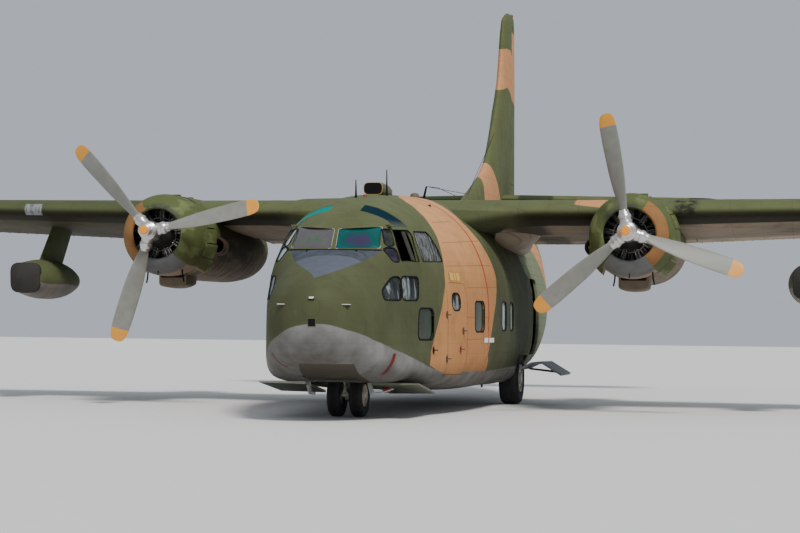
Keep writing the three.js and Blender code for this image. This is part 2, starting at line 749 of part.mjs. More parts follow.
const pieces = [
  ...onePiece('fuselage', 'fuselage_nose', 'camouflage', fuselageNose),
  ...onePiece('fuselage', 'fuselage_centre', 'camouflage', fuselageCentre),
  ...onePiece('fuselage', 'fuselage_aft', 'camouflage', fuselageAft),
  ...onePiece('fuselage', 'tail_cone', 'camouflage', tailCone),
  ...onePiece('fuselage', 'cockpit_glazing', 'glazing', cockpitGlazing),
  ...onePiece('fuselage', 'crew_door', 'camouflage', crewDoor),
  ...onePiece('fuselage', 'side_door_port', 'cabinGreen', () => sideDoor(doorSlide)),
  ...onePiece('fuselage', 'side_door_starboard', 'cabinGreen', () => mirrored(sideDoor(0))),
  ...onePiece('fuselage', 'cargo_ramp', 'bellyGrey', () => underPanel(rampZone.from, rampZone.to)),
  ...onePiece('fuselage', 'cargo_door', 'camouflage', () => underPanel(rampZone.split, rampZone.end)),
  ...onePiece('fuselage', 'cargo_floor', 'cabinGreen', cargoFloor),
  ...onePiece('fuselage', 'roof_scoop', 'blackTrim', roofScoop),
  ...onePiece('cockpit', 'flight_deck', 'cabinGreen', flightDeck),
  ...onePiece('cockpit', 'instrument_panel', 'blackTrim', instrumentPanel),
  ...bothSides('cockpit', 'seat', 'cabinGreen', seat, at(480, 3100, 2042)),
  ...onePiece('landing_gear', 'nose_leg', 'gearGrey', noseLeg),
  ...onePiece('landing_gear', 'nose_fork', 'gearGrey', noseFork),
  ...onePiece('landing_gear', 'nose_wheels', 'gearGrey', noseWheels, nosePlace),
  ...bothSides('landing_gear', 'nose_tyre', 'rubber', () => tyre(noseTyre), noseTyrePlace),
  ...onePiece('landing_gear', 'nose_door_front', 'wellBrown', noseFrontDoor),
  ...bothSides('landing_gear', 'nose_door', 'bellyGrey', noseSideDoor),
  ...bothSides('landing_gear', 'main_leg', 'gearGrey', mainLeg),
  ...bothSides('landing_gear', 'main_wheel', 'gearGrey', () => rimOf(mainTyre, 62), wheelPlace),
  ...bothSides('landing_gear', 'main_tyre', 'rubber', () => tyre(mainTyre), wheelPlace),
  ...bothSides('landing_gear', 'main_gear_door', 'doorGrey', mainGearDoor),
  ...onePiece('wing', 'wing_centre', 'camouflage', wingCentre),
  ...bothSides('wing', 'wing_outer', 'camouflage', wingOuter),
  ...bothSides('wing', 'flap_inner', 'camouflage', () => trailingPiece(2180, 3860, 1)),
  ...bothSides('wing', 'flap_outer', 'camouflage', () => trailingPiece(5780, 10250, 1)),
  ...bothSides('wing', 'aileron', 'camouflage', () => trailingPiece(10330, 16140, 0.5)),
  ...bothSides('power', 'nacelle', 'camouflage', nacelle),
  ...bothSides('power', 'cowl', 'camouflage', cowl, cowlPlace),
  ...bothSides('power', 'engine', 'engineMetal', engine, enginePlace),
  ...onePiece('power', 'propeller_port', 'bladeGrey', () => propeller(bladeAnglesPort), hubPlace),
  ...onePiece('power', 'propeller_starboard', 'bladeGrey', () => propeller(bladeAnglesStarboard), [-hubX, hubY, hubZ]),
  ...bothSides('power', 'pod', 'camouflage', jetPod, podPlace),
  ...bothSides('power', 'pylon', 'bellyGrey', pylon),
  ...onePiece('tail', 'fin', 'camouflage', fin),
  ...onePiece('tail', 'rudder', 'camouflage', rudder),
  ...onePiece('tail', 'tailplane', 'camouflage', tailplane),
  ...bothSides('tail', 'elevator', 'camouflage', elevator),
];

const model = new THREE.Group();
model.name = 'transport_aircraft';
const groups = {};
const materials = {};
for (const { group, name, finish, build, place } of pieces) {
  materials[finish] ??= new THREE.MeshStandardMaterial({ name: finish, ...finishes[finish] });
  if (!groups[group]) {
    groups[group] = new THREE.Group();
    groups[group].name = group;
    model.add(groups[group]);
  }
  const mesh = new THREE.Mesh(build(), materials[finish]);
  mesh.name = name;
  mesh.position.set(...place);
  groups[group].add(mesh);
}

export default model;
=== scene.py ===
import json
import math

import bmesh
import bpy
from mathutils import Matrix, Vector


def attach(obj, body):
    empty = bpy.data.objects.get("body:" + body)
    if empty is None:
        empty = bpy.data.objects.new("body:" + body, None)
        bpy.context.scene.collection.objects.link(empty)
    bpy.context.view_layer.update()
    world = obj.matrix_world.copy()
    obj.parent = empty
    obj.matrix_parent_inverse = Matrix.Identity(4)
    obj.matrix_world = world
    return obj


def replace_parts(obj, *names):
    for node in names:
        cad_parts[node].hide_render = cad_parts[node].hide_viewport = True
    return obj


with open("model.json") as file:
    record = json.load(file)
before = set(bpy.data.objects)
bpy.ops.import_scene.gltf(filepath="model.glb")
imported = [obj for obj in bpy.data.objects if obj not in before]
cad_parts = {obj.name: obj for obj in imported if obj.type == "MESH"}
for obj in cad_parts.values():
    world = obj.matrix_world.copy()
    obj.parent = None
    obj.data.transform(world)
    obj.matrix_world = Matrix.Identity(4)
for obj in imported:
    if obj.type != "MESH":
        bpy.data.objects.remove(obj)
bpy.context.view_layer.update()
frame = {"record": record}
print("stage: frame loaded")

# Stations are metres aft of the nose tip, as in the part; the nose points to -Y, the port wing to +X
halfLength = 11.62
engineX, engineZ, propellerZ = 4.75, 3.455, 3.49
podX, podZ = 8.15, 2.58
wingLead, wingChord, wingHeight = 7.6, 4.15, 3.98
sides = ((1, "port"), (-1, "starboard"))


def at(x, station, z):
    return Vector((x, station - halfLength, z))


# Camera: long lens a little to port of the nose, at a standing person's eye height
view = {"focalPixels": 1976.9, "widePixels": 800, "turn": 11.66, "pitch": 1.822, "roll": 0.677,
        "x": 8.105, "station": -31.757, "height": 1.585}


def makeCamera():
    turn, pitch, roll = (math.radians(view[key]) for key in ("turn", "pitch", "roll"))
    ahead = Vector((-math.sin(turn) * math.cos(pitch), math.cos(turn) * math.cos(pitch), math.sin(pitch)))
    side = Vector((math.cos(turn), math.sin(turn), 0))
    up = side.cross(ahead)
    right = side * math.cos(roll) + up * math.sin(roll)
    top = up * math.cos(roll) - side * math.sin(roll)
    data = bpy.data.cameras.new("viewCamera")
    data.sensor_width = 36
    data.lens = view["focalPixels"] / view["widePixels"] * data.sensor_width
    data.clip_end = 500
    camera = bpy.data.objects.new("viewCamera", data)
    turnMatrix = Matrix((right, top, -ahead)).transposed().to_4x4()
    camera.matrix_world = Matrix.Translation(at(view["x"], view["station"], view["height"])) @ turnMatrix
    bpy.context.collection.objects.link(camera)
    bpy.context.scene.camera = camera


makeCamera()
print("stage: camera")


# Meshes

def newPiece(name, points, faces, material, body="airframe"):
    mesh = bpy.data.meshes.new(name)
    mesh.from_pydata([tuple(point) for point in points], [], faces)
    mesh.validate()
    mesh.shade_smooth()
    piece = bpy.data.objects.new(name, mesh)
    bpy.context.collection.objects.link(piece)
    piece.data.materials.append(paints[material])
    fixNormals(piece)
    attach(piece, body)
    return piece


def fixNormals(piece):
    shape = bmesh.new()
    shape.from_mesh(piece.data)
    bmesh.ops.remove_doubles(shape, verts=shape.verts, dist=1e-5)
    bmesh.ops.recalc_face_normals(shape, faces=shape.faces)
    shape.to_mesh(piece.data)
    shape.free()


def sharpen(piece, angle=32):
    piece.data.set_sharp_from_angle(angle=math.radians(angle))
    return piece


def bakeModifiers(piece):
    graph = bpy.context.evaluated_depsgraph_get()
    baked = bpy.data.meshes.new_from_object(piece.evaluated_get(graph))
    piece.modifiers.clear()
    old = piece.data
    piece.data = baked
    bpy.data.meshes.remove(old)
    return piece


def gridFaces(rows, columns):
    faces = []
    for row in range(rows - 1):
        for column in range(columns):
            nextColumn = (column + 1) % columns
            faces.append((row * columns + column, row * columns + nextColumn,
                          (row + 1) * columns + nextColumn, (row + 1) * columns + column))
    return faces


# A shape is its points and faces; shapes are put together before they become a piece
def loftShape(rings, capStart=True, capEnd=True):
    count = len(rings[0])
    faces = gridFaces(len(rings), count)
    if capStart:
        faces.append(tuple(range(count - 1, -1, -1)))
    if capEnd:
        faces.append(tuple(range((len(rings) - 1) * count, len(rings) * count)))
    return [point for ring in rings for point in ring], faces


def turnsOf(steps):
    return [2 * math.pi * step / steps for step in range(steps)]


# Circle of points round an axis
def circle(centre, axis, radius, steps):
    helper = Vector((0, 0, 1)) if abs(axis.z) < 0.9 else Vector((1, 0, 0))
    first = axis.cross(helper).normalized()
    second = axis.cross(first)
    return [centre + (first * math.cos(turn) + second * math.sin(turn)) * radius for turn in turnsOf(steps)]


def turnedShape(profile, centre, axis, steps=64, closed=False):
    axis = Vector(axis).normalized()
    rings = [circle(Vector(centre) + axis * along, axis, radius, steps) for radius, along in profile]
    if closed:
        rings.append(rings[0])
    return loftShape(rings, not closed, not closed)


def tubeShape(points, radius, steps=16):
    rings = []
    points = [Vector(point) for point in points]
    for index, point in enumerate(points):
        along = points[min(index + 1, len(points) - 1)] - points[max(index - 1, 0)]
        thick = radius[index] if isinstance(radius, (list, tuple)) else radius
        rings.append(circle(point, along.normalized(), thick, steps))
    return loftShape(rings)


# Box round a middle point along three directions, corners cut by a chamfer
def blockShape(centre, size, along=(0, 1, 0), up=(0, 0, 1), chamfer=0.1):
    along = Vector(along).normalized()
    side = along.cross(Vector(up)).normalized()
    up = side.cross(along)
    halves = [value / 2 for value in size]
    cut = chamfer * min(halves[0], halves[2])
    rings = []
    for end in (-1, -0.94, 0.94, 1):
        shrink = cut if abs(end) == 1 else 0
        ring = []
        for a, b in ((-1, -1), (1, -1), (1, 1), (-1, 1)):
            x, z = a * (halves[0] - shrink), b * (halves[2] - shrink)
            corner = [(x - a * cut, z), (x, z - b * cut)]
            ring += corner if a == b else reversed(corner)
        middle = Vector(centre) + along * end * halves[1]
        rings.append([middle + side * x + up * z for x, z in ring])
    return loftShape(rings)


def joined(shapes):
    points, faces = [], []
    for shapePoints, shapeFaces in shapes:
        start = len(points)
        points += shapePoints
        faces += [tuple(start + index for index in face) for face in shapeFaces]
    return points, faces


def shapePiece(name, shape, material, body="airframe", angle=32):
    return sharpen(newPiece(name, *shape, material, body), angle)


def loftPiece(name, rings, material, body="airframe", capStart=True, capEnd=True, angle=32):
    return shapePiece(name, loftShape(rings, capStart, capEnd), material, body, angle)


def turnedPiece(name, profile, centre, axis, material, body="airframe", steps=64, closed=False):
    return shapePiece(name, turnedShape(profile, centre, axis, steps, closed), material, body)


# Shader maths on sockets

def connect(tree, node, key, value):
    if isinstance(value, Sock):
        tree.links.new(value.out, node.inputs[key])
    elif value is not None:
        node.inputs[key].default_value = value


class Sock:
    def __init__(self, tree, out):
        self.tree = tree
        self.out = out

    def make(self, kind, settings=None, inputs=None, output=0):
        node = self.tree.nodes.new(kind)
        for key, value in (settings or {}).items():
            if key == "stops":
                fillRamp(node.color_ramp, value)
            else:
                setattr(node, key, value)
        for key, value in (inputs or {}).items():
            connect(self.tree, node, key, value)
        return Sock(self.tree, node.outputs[output])

    def maths(self, operation, other=None, first=None):
        inputs = {0: self if first is None else first, 1: other}
        return self.make("ShaderNodeMath", {"operation": operation}, inputs)

    def __add__(self, other):
        return self.maths("ADD", other)

    __radd__ = __add__

    def __sub__(self, other):
        return self.maths("SUBTRACT", other)

    def __rsub__(self, other):
        return self.maths("SUBTRACT", self, other)

    def __mul__(self, other):
        return self.maths("MULTIPLY", other)

    __rmul__ = __mul__

    def __truediv__(self, other):
        return self.maths("DIVIDE", other)

    def size(self):
        return self.maths("ABSOLUTE")

    def step(self, low, high):
        return self.make("ShaderNodeMapRange", {"interpolation_type": "SMOOTHSTEP"},
                         {"Value": self, "From Min": low, "From Max": high, "To Min": 0.0, "To Max": 1.0})

    def band(self, low, high, soft):
        return self.step(low - soft, low + soft) * (1 - self.step(high - soft, high + soft))

    def mix(self, first, second):
        inputs = {"Factor": self, 6: tone(first), 7: tone(second)}
        return self.make("ShaderNodeMix", {"data_type": "RGBA"}, inputs, 2)

    def distance(self, other):
        return (self.maths("POWER", 2.0) + other.maths("POWER", 2.0)).maths("SQRT")

    def bump(self, strength, distance):
        return self.make("ShaderNodeBump", {}, {"Height": self, "Strength": strength, "Distance": distance})

    def least(self, other):
        return self.maths("MINIMUM", other)

    def most(self, other):
        return self.maths("MAXIMUM", other)

    # Straight-line curve through (input, output) points
    def curve(self, points):
        low, high = points[0][0], points[-1][0]
        floor, top = min(p[1] for p in points), max(p[1] for p in points)
        stops = [((a - low) / (high - low), ((b - floor) / (top - floor),) * 3) for a, b in points]
        part = (self - low) / (high - low)
        ramp = part.make("ShaderNodeValToRGB", {"stops": stops}, {"Fac": part})
        return ramp * (top - floor) + floor

    # Thin lines every so many metres, 1 on the line
    def lines(self, spacing, width):
        away = (self / spacing).maths("FRACT") - 0.5
        return 1 - ((away.size() - 0.5).size() * spacing).step(width * 0.4, width)

    def ramp(self, stops):
        return self.make("ShaderNodeValToRGB", {"stops": stops}, {"Fac": self})

    def axes(self):
        parts = self.tree.nodes.new("ShaderNodeSeparateXYZ")
        self.tree.links.new(self.out, parts.inputs[0])
        return [Sock(self.tree, parts.outputs[k]) for k in range(3)]

    def noise(self, scale, detail=4.0, rough=0.55, stretch=None):
        where = self
        if stretch:
            where = self.make("ShaderNodeVectorMath", {"operation": "MULTIPLY"}, {0: self, 1: stretch})
        inputs = {"Vector": where, "Scale": scale, "Detail": detail, "Roughness": rough}
        return where.make("ShaderNodeTexNoise", {}, inputs)


def fillRamp(ramp, stops):
    while len(ramp.elements) > 1:
        ramp.elements.remove(ramp.elements[0])
    ramp.elements[0].position = stops[0][0]
    ramp.elements[0].color = tone(stops[0][1])
    for position, colour in stops[1:]:
        ramp.elements.new(position).color = tone(colour)


colours = {
    "green": (0.092, 0.105, 0.043), "lightGreen": (0.178, 0.205, 0.125), "darkGreen": (0.038, 0.05, 0.024),
    "tan": (0.55, 0.265, 0.12), "dirt": (0.035, 0.03, 0.024), "warningRed": (0.42, 0.06, 0.035),
    "rootShade": (0.02, 0.021, 0.011), "ribbonYellow": (0.62, 0.42, 0.05), "ribbonRed": (0.5, 0.08, 0.04),
    "ribbonGreen": (0.05, 0.09, 0.03),
}


# A colour by name or by value, or a socket as it is
def tone(colour):
    return colour if isinstance(colour, Sock) else (*colours.get(colour, colour), 1)


paints = {}


# A paint from a function that gives the values of the shader's sockets
def addPaint(name, draw, *values):
    material = bpy.data.materials.new(name)
    material.use_nodes = True
    tree = material.node_tree
    coords = tree.nodes.new("ShaderNodeTexCoord")
    for key, value in draw(Sock(tree, coords.outputs["Object"]), *values).items():
        connect(tree, tree.nodes["Principled BSDF"], key, value)
    paints[name] = material


# Paint with faint clouds, fine roughness and fine bumps
def plainPaint(place, colour, rough, metal, variation, scale, bump=0.15, coat=0.0, gloss=0.5):
    cloud = place.noise(scale, 6.0, 0.6)
    fine = place.noise(scale * 9, 3.0, 0.6)
    dark = tuple(channel * (1 - variation) for channel in colour)
    light = tuple(min(1, channel * (1 + variation)) for channel in colour)
    return {"Base Color": cloud.mix(dark, light), "Roughness": rough + (fine - 0.5) * 0.25, "Metallic": metal,
            "Coat Weight": coat, "Specular IOR Level": gloss, "Normal": fine.bump(bump, 0.002)}


# Edges of the tan band and of the grey belly: (height, station) and (station, height)
bandFront = [
    (0.6, 3.9), (0.76, 3.83), (0.83, 3.5), (0.95, 3.03), (1.19, 3.05), (1.46, 3.2), (1.77, 3.39),
    (2.09, 3.58), (2.41, 3.76), (2.74, 3.9), (3.06, 4.03), (3.31, 4.18), (3.56, 4.28), (3.81, 4.39),
    (3.98, 4.56), (4.1, 5.0), (4.2, 5.9), (4.4, 7.4)]
bandRear = [
    (0.6, 6.7), (0.82, 6.51), (1.12, 6.25), (1.55, 6.44), (1.97, 6.7), (2.32, 6.95), (2.6, 7.14),
    (2.75, 7.15), (3.03, 7.04), (3.31, 6.9), (3.52, 6.75), (3.71, 6.68), (3.93, 6.76), (4.1, 6.95),
    (4.2, 7.3), (4.4, 7.8)]
bellyEdge = [
    (0, 1.66), (0.09, 1.61), (0.25, 1.51), (0.83, 1.33), (1.63, 1.15), (2.98, 0.9), (3.8, 0.79),
    (4.05, 0.735), (4.71, 0.735), (4.76, 0.8), (6.7, 0.79), (9.5, 0.83), (11.15, 0.87), (13.4, 0.95),
    (15.0, 1.2), (17.0, 1.95), (19.2, 2.9), (21.2, 3.7), (23.2, 4.5)]
# Long skin seams on the side: first station and height, last station and height
panelSeams = [
    (4.49, 3.59, 5.77, 3.68), (4.23, 3.2, 6.8, 3.35), (4.01, 2.76, 6.89, 2.87), (4.81, 2.38, 7.08, 2.44),
    (4.7, 1.82, 6.22, 1.84), (4.71, 1.41, 6.01, 1.42)]
# Anti-glare patch: (height, right edge) and (height, left edge)
glareRight = [
    (2.44, 0.02), (2.505, 0.16), (2.569, 0.292), (2.649, 0.434), (2.737, 0.564), (2.807, 0.653),
    (2.889, 0.759), (2.96, 0.83)]
glareLeft = [
    (2.44, -0.02), (2.514, -0.11), (2.594, -0.28), (2.752, -0.647), (2.80, -0.70), (2.93, -0.80),
    (2.96, -0.83)]


def hullColour(place, x, station, z):
    ragged = place.noise(3.0, 4.0) - 0.5
    cloud = place.noise(0.7, 4.0)
    patch = place.noise(0.33, 1.5).step(0.5, 0.54)
    # Green painted darker low down and lighter high up: painted shade below, painted light from above
    shadedLowGreen = cloud.step(0.35, 0.7).mix((0.068, 0.075, 0.037), (0.088, 0.098, 0.05))
    litHighGreen = cloud.step(0.35, 0.7).mix((0.096, 0.110, 0.05), (0.122, 0.138, 0.07))
    green = z.step(2.3, 3.9).mix(shadedLowGreen, litHighGreen)
    # Aft of station 8.3 the green has dark camouflage patches and is darkened further from station 8.8 to the
    # side door as painted shade under the wing; aft of station 11.3 it turns pale green, partly as painted
    # light
    behind = station.step(8.3, 8.45)
    patchedAndShaded = (patch * 0.35 + 0.25 + station.step(8.8, 9.8) * 0.4).mix("green", "darkGreen")
    pale = (station + ragged * 0.2 - 0.45 * z.step(2.9, 2.72)).step(11.25, 11.4)
    patchedAndShaded = pale.mix(patchedAndShaded, "lightGreen")
    green = behind.mix(green, patchedAndShaded)
    rearTan = (station + z * 0.9 + ragged * 0.2).band(17.6, 19.9, 0.05) * z.step(1.9, 2.0)
    green = rearTan.mix(green, "tan")
    forward = (1 - x.step(-0.3, 0.3)) * (1 - z.step(1.6, 2.2)) * 0.8
    wave = ragged * 0.05
    band = (station + forward - z.curve(bandFront) + wave).step(-0.012, 0.012)
    band = band * (1 - (station - z.curve(bandRear) + wave).step(-0.012, 0.012))
    # Tan painted darker low down and lighter high up: painted shade below, painted light from above
    shadedTanLow = cloud.mix((0.35, 0.165, 0.066), (0.52, 0.255, 0.105))
    litTanHigh = cloud.mix((0.50, 0.24, 0.102), (0.70, 0.365, 0.165))
    litAndShadedTan = z.step(2.2, 3.6).mix(shadedTanLow, litTanHigh)
    colour = band.mix(green, litAndShadedTan)
    glare = (x - z.curve(glareRight)).step(0.006, -0.006) * (x - z.curve(glareLeft)).step(-0.006, 0.006)
    glare = glare * z.band(2.44, 2.962, 0.004) * (1 - station.step(2.2, 2.25))
    inner = (station + ragged * 0.05 - (x.size() * 0.03)).step(1.44, 1.48)
    mottle = place.noise(6.0, 4.0, stretch=(1, 2, 1)).step(0.3, 0.75)
    innerTone = mottle.mix((0.035, 0.042, 0.055), (0.075, 0.086, 0.105))
    colour = glare.mix(colour, (inner * 0.8).mix((0.095, 0.11, 0.14), innerTone))
    edge = station.curve(bellyEdge) + x * 0.09 * (1 - station.step(0.5, 4.0))
    belly = (z - edge + ragged * 0.03).step(0.012, -0.012)
    # Grey belly paint, its tone lowered as painted shade under the hull, with brown stains
    bellyTone = place.noise(1.6, 5.0).step(0.3, 0.75).mix((0.14, 0.138, 0.132), (0.24, 0.238, 0.232))
    brown = (place.noise(1.1, 4.0) + station * 0.012).step(0.66, 0.8) * 0.5
    bellyTone = brown.mix(bellyTone, (0.12, 0.09, 0.066))
    colour = belly.mix(colour, bellyTone)
    # Round cap seam in the middle of the nose
    cap = ((x - 0.05).distance(z - 1.93) - 0.15).size().step(0.012, 0.004) * (1 - station.step(0.3, 0.35))
    colour = (cap * 0.3).mix(colour, (0.04, 0.045, 0.02))
    # Brown recess between the nose gear doors painted dark as painted shade, darker lower down, and the red
    # arcs on both sides of it
    recessShade = (x - 0.64).step(0.006, -0.006) * (x + 0.28 + (0.99 - z) * 0.39).step(-0.006, 0.006)
    recessShade = recessShade * z.step(0.997, 0.985) * (1 - station.step(2.3, 2.32))
    colour = recessShade.mix(colour, z.step(0.84, 1.0).mix((0.05, 0.045, 0.036), (0.085, 0.078, 0.066)))
    portArc = (station - 1.53 - (z - 0.9).most(0.0) * 0.35).size().step(0.06, 0.045) * x.step(0.5, 0.6)
    otherArc = (station - (1.16 - z) * 0.375 - 0.66).size().step(0.02, 0.012) * (-1 * x).step(0.5, 0.55)
    arc = (portArc + otherArc) * belly * z.band(0.8, 1.17, 0.01)
    worn = 1 - (1 - z.step(1.2, 2.2)) * place.noise(16.0, 3.0).step(0.47, 0.55)
    ring = (station - 6.2).size().step(0.055, 0.038) * worn * (1 - belly)
    colour = ring.mix(colour, "warningRed")
    colour = arc.mix(colour, (0.15, 0.02, 0.018))
    lines = (station - 3.8).size().step(0.014, 0.008) + (station - 4.8).size().step(0.014, 0.008)
    lines = lines * z.band(0.78, 2.3, 0.02)
    for first, low, last, high in panelSeams:
        gap = (z - (station - first) * ((high - low) / (last - first)) - low).size().step(0.011, 0.005)
        lines = lines.most(gap * station.band(first, last, 0.02))
    return (lines * x.step(0.8, 1.2) * 0.45).mix(colour, (0.085, 0.055, 0.032))


# What lies between the hull and the front of the root fairing is painted in the root's shade, dark green to
# near black, as painted shade
def rootEdge(x, station):
    return (x.size() - 1.66 - (9.15 - station) * 0.38).step(0.01, -0.01)


# Line between the painted top and the dirty underside of the wing, in parts of the chord
wingMiddle = [(0, 0), (0.2, 0.002), (0.35, -0.005), (0.55, -0.022), (0.73, -0.049), (1, -0.112)]


def wingColour(place, x, station, z):
    out = (x.size() - engineX).most(0.0)
    lead = out * 0.0751 + wingLead
    chord = out * -0.17817 + wingChord
    aft = (station - lead) / chord
    height = (z - wingHeight - out * 0.0201) / chord
    over = (height - aft.curve(wingMiddle)).step(-0.004, 0.004)
    soft = height.step(-0.03, 0.016)
    ragged = place.noise(2.4, 3.0) - 0.5
    patch = place.noise(0.28, 1.2).step(0.5, 0.53)
    top = patch.mix("green", "darkGreen")
    tanPatch = (place.noise(0.22, 1.0) + aft * 0.1).step(0.6, 0.62)
    top = tanPatch.mix(top, "tan")
    front = place.noise(0.9, 3.0).mix((0.085, 0.10, 0.042), (0.12, 0.14, 0.065))
    front = (0.5 - x.step(-5.5, -4.5) * 0.5).mix(front, (0.05, 0.058, 0.028))
    tanLead = x.band(3.52, 4.4, 0.03) * (height + (x - 3.95) * 0.03).step(0.02, 0.025)
    front = tanLead.mix(front, "tan")
    # Lower side of the leading edge, outboard of the root, painted near black as painted shade, fading in
    # below the lit upper side
    front = ((1 - soft) * x.size().step(1.9, 2.7)).mix(front, (0.013, 0.0125, 0.007))
    nearFront = (aft + ragged * 0.01).step(0.165, 0.155)
    under = place.noise(0.8, 4.0).mix((0.27, 0.205, 0.145), (0.40, 0.31, 0.225))
    under = (place.noise(0.35, 2.0).step(0.56, 0.6) * 0.6).mix(under, (0.10, 0.10, 0.055))
    # Starboard underside painted much darker than the port one, partly as painted shade
    starboardShadedTone = place.noise(0.8, 4.0).mix((0.055, 0.052, 0.026), (0.10, 0.092, 0.05))
    under = x.step(-3.8, -5.0).mix(under, starboardShadedTone)
    under = (aft.step(0.8, 0.86) * x.step(-4.0, -3.5) * 0.75).mix(under, (0.66, 0.51, 0.36))
    leaf = x.band(2.45, 3.05, 0.1) * (aft + ragged * 0.06).band(0.58, 1.1, 0.04)
    # Near-black band on the underside just outboard of the root fairing
    rootDarkBand = x.band(2.15, 2.85, 0.14) * (aft + ragged * 0.1 + x * 0.08).band(0.2, 0.72, 0.06)
    under = (rootDarkBand * 0.8).mix((leaf * 0.8).mix(under, (0.075, 0.088, 0.045)), (0.018, 0.016, 0.013))
    colour = nearFront.mix(over.mix(under, top), front)
    # Inboard of the fairing's front the underside goes from dark green to near black as painted shade
    rootGreenAndShade = station.step(7.5, 8.6).mix((0.07, 0.08, 0.036), "rootShade")
    colour = (rootEdge(x, station) * (1 - over)).mix(colour, rootGreenAndShade)
    soot = x.band(5.5, 5.95, 0.07) * aft.step(0.3, 0.05) * place.noise(7.0, 5.0).step(0.35, 0.6)
    return (soot * 0.85).mix(colour, (0.012, 0.012, 0.012))


# Upper and lower edge of the tan patch on the fin: (station, height)
finTanTop = [
    (19.0, 8.6), (20.0, 8.9), (20.35, 9.11), (20.95, 9.2), (21.5, 9.22), (21.93, 9.12), (21.95, 9.8),
    (23.3, 9.85)]
finTanLow = [(19.0, 7.85), (19.75, 7.92), (20.87, 8.13), (21.57, 8.04), (21.94, 7.94), (23.3, 7.9)]


def tailColour(place, x, station, z):
    ragged = place.noise(1.6, 3.0) - 0.5
    cloud = place.noise(0.9, 4.0)
    green = cloud.mix((0.088, 0.102, 0.042), (0.12, 0.14, 0.06))
    green = (place.noise(0.3, 1.0).step(0.52, 0.54) * x.size().step(0.5, 0.6)).mix(green, "darkGreen")
    wave = ragged * 0.06
    upper = (z - station.curve(finTanTop) + wave).step(0.012, -0.012)
    upper = upper * (z - station.curve(finTanLow) + wave).step(-0.012, 0.012)
    lower = (station + wave).step(17.08, 17.12) * (station - 18.05 - (5.9 - z) * 2.2 + wave).step(0.02, -0.02)
    lower = lower * z.step(6.3, 6.2) * x.size().step(0.5, 0.45)
    return (upper + lower).least(1.0).mix(green, "tan")


def nacelleColour(place, x, station, z):
    across = x.size() - engineX
    cloud = place.noise(1.0, 5.0)
    green = cloud.mix((0.085, 0.10, 0.042), (0.12, 0.14, 0.062))
    under = (z + place.noise(2.0, 3.0) * 0.3 - 3.6).step(0.05, -0.35)
    streak = place.noise(5.0, 6.0, stretch=(0.4, 4.5, 0.4)).step(0.42, 0.66)
    brown = streak.mix((0.34, 0.262, 0.19), (0.07, 0.054, 0.04))
    colour = under.mix(green, brown)
    soot = (1 - across.step(-0.2, 0.1)) * z.band(2.85, 3.7, 0.3) * station.band(7.3, 10.8, 0.6) * 0.85
    return (soot * place.noise(5.0, 6.0, stretch=(1, 0.2, 1)).step(0.2, 0.6)).mix(colour, "dirt")


# Nose ring of the cowl: green, tan on the outboard side, grey below; wedges go by the turn round the engine
def cowlColour(place, x, station, z):
    turn = (z - engineZ).maths("ARCTAN2", x.size() - engineX)
    cloud = place.noise(2.0, 5.0)
    patch = place.noise(3.2, 3.0, stretch=(1, 0.4, 1)).step(0.5, 0.62)
    green = patch.mix(cloud.mix((0.075, 0.092, 0.035), (0.11, 0.135, 0.05)), (0.15, 0.185, 0.075))
    ahead = 1 - (station + place.noise(4.0, 2.0) * 0.04).step(6.56, 6.58)
    outer = turn.band(-0.95, 1.08, 0.015) * (1 - (station + place.noise(4.0, 2.0) * 0.03).step(6.375, 6.39))
    colour = outer.mix(green, (0.27, 0.135, 0.054))
    low = turn.band(-2.3, -0.94, 0.015)
    lowTone = ahead.mix((0.33, 0.24, 0.175), cloud.mix((0.11, 0.113, 0.115), (0.2, 0.203, 0.205)))
    colour = low.mix(colour, lowTone)
    lip = (1 - station.step(6.2, 6.24)) * turn.band(1.3, 2.6, 0.2) * 0.6
    return lip.mix(colour, (0.05, 0.06, 0.055))


def podColour(place, x, station, z):
    cloud = place.noise(1.6, 4.0)
    green = cloud.mix((0.085, 0.10, 0.045), (0.12, 0.14, 0.065))
    under = (z + place.noise(1.5, 2.0) * 0.1 - 0.05).step(2.5, 2.46)
    return under.mix(green, cloud.mix((0.20, 0.175, 0.155), (0.30, 0.27, 0.25)))


# Skins: colours, spacing of the frames along and of the rows across or up, dirt and painted shade on what
# faces the ground
zones = {"hull": (hullColour, 0.5, 0.19, 0.72), "wing": (wingColour, 0.42, 0.6, 0.34),
         "tail": (tailColour, 0.45, 0.42, 0.3), "nacelle": (nacelleColour, 0.3, 0.3, 0.35),
         "cowl": (cowlColour, 0.4, 0.8, 0.35), "pod": (podColour, 0.5, 0.5, 0.4)}


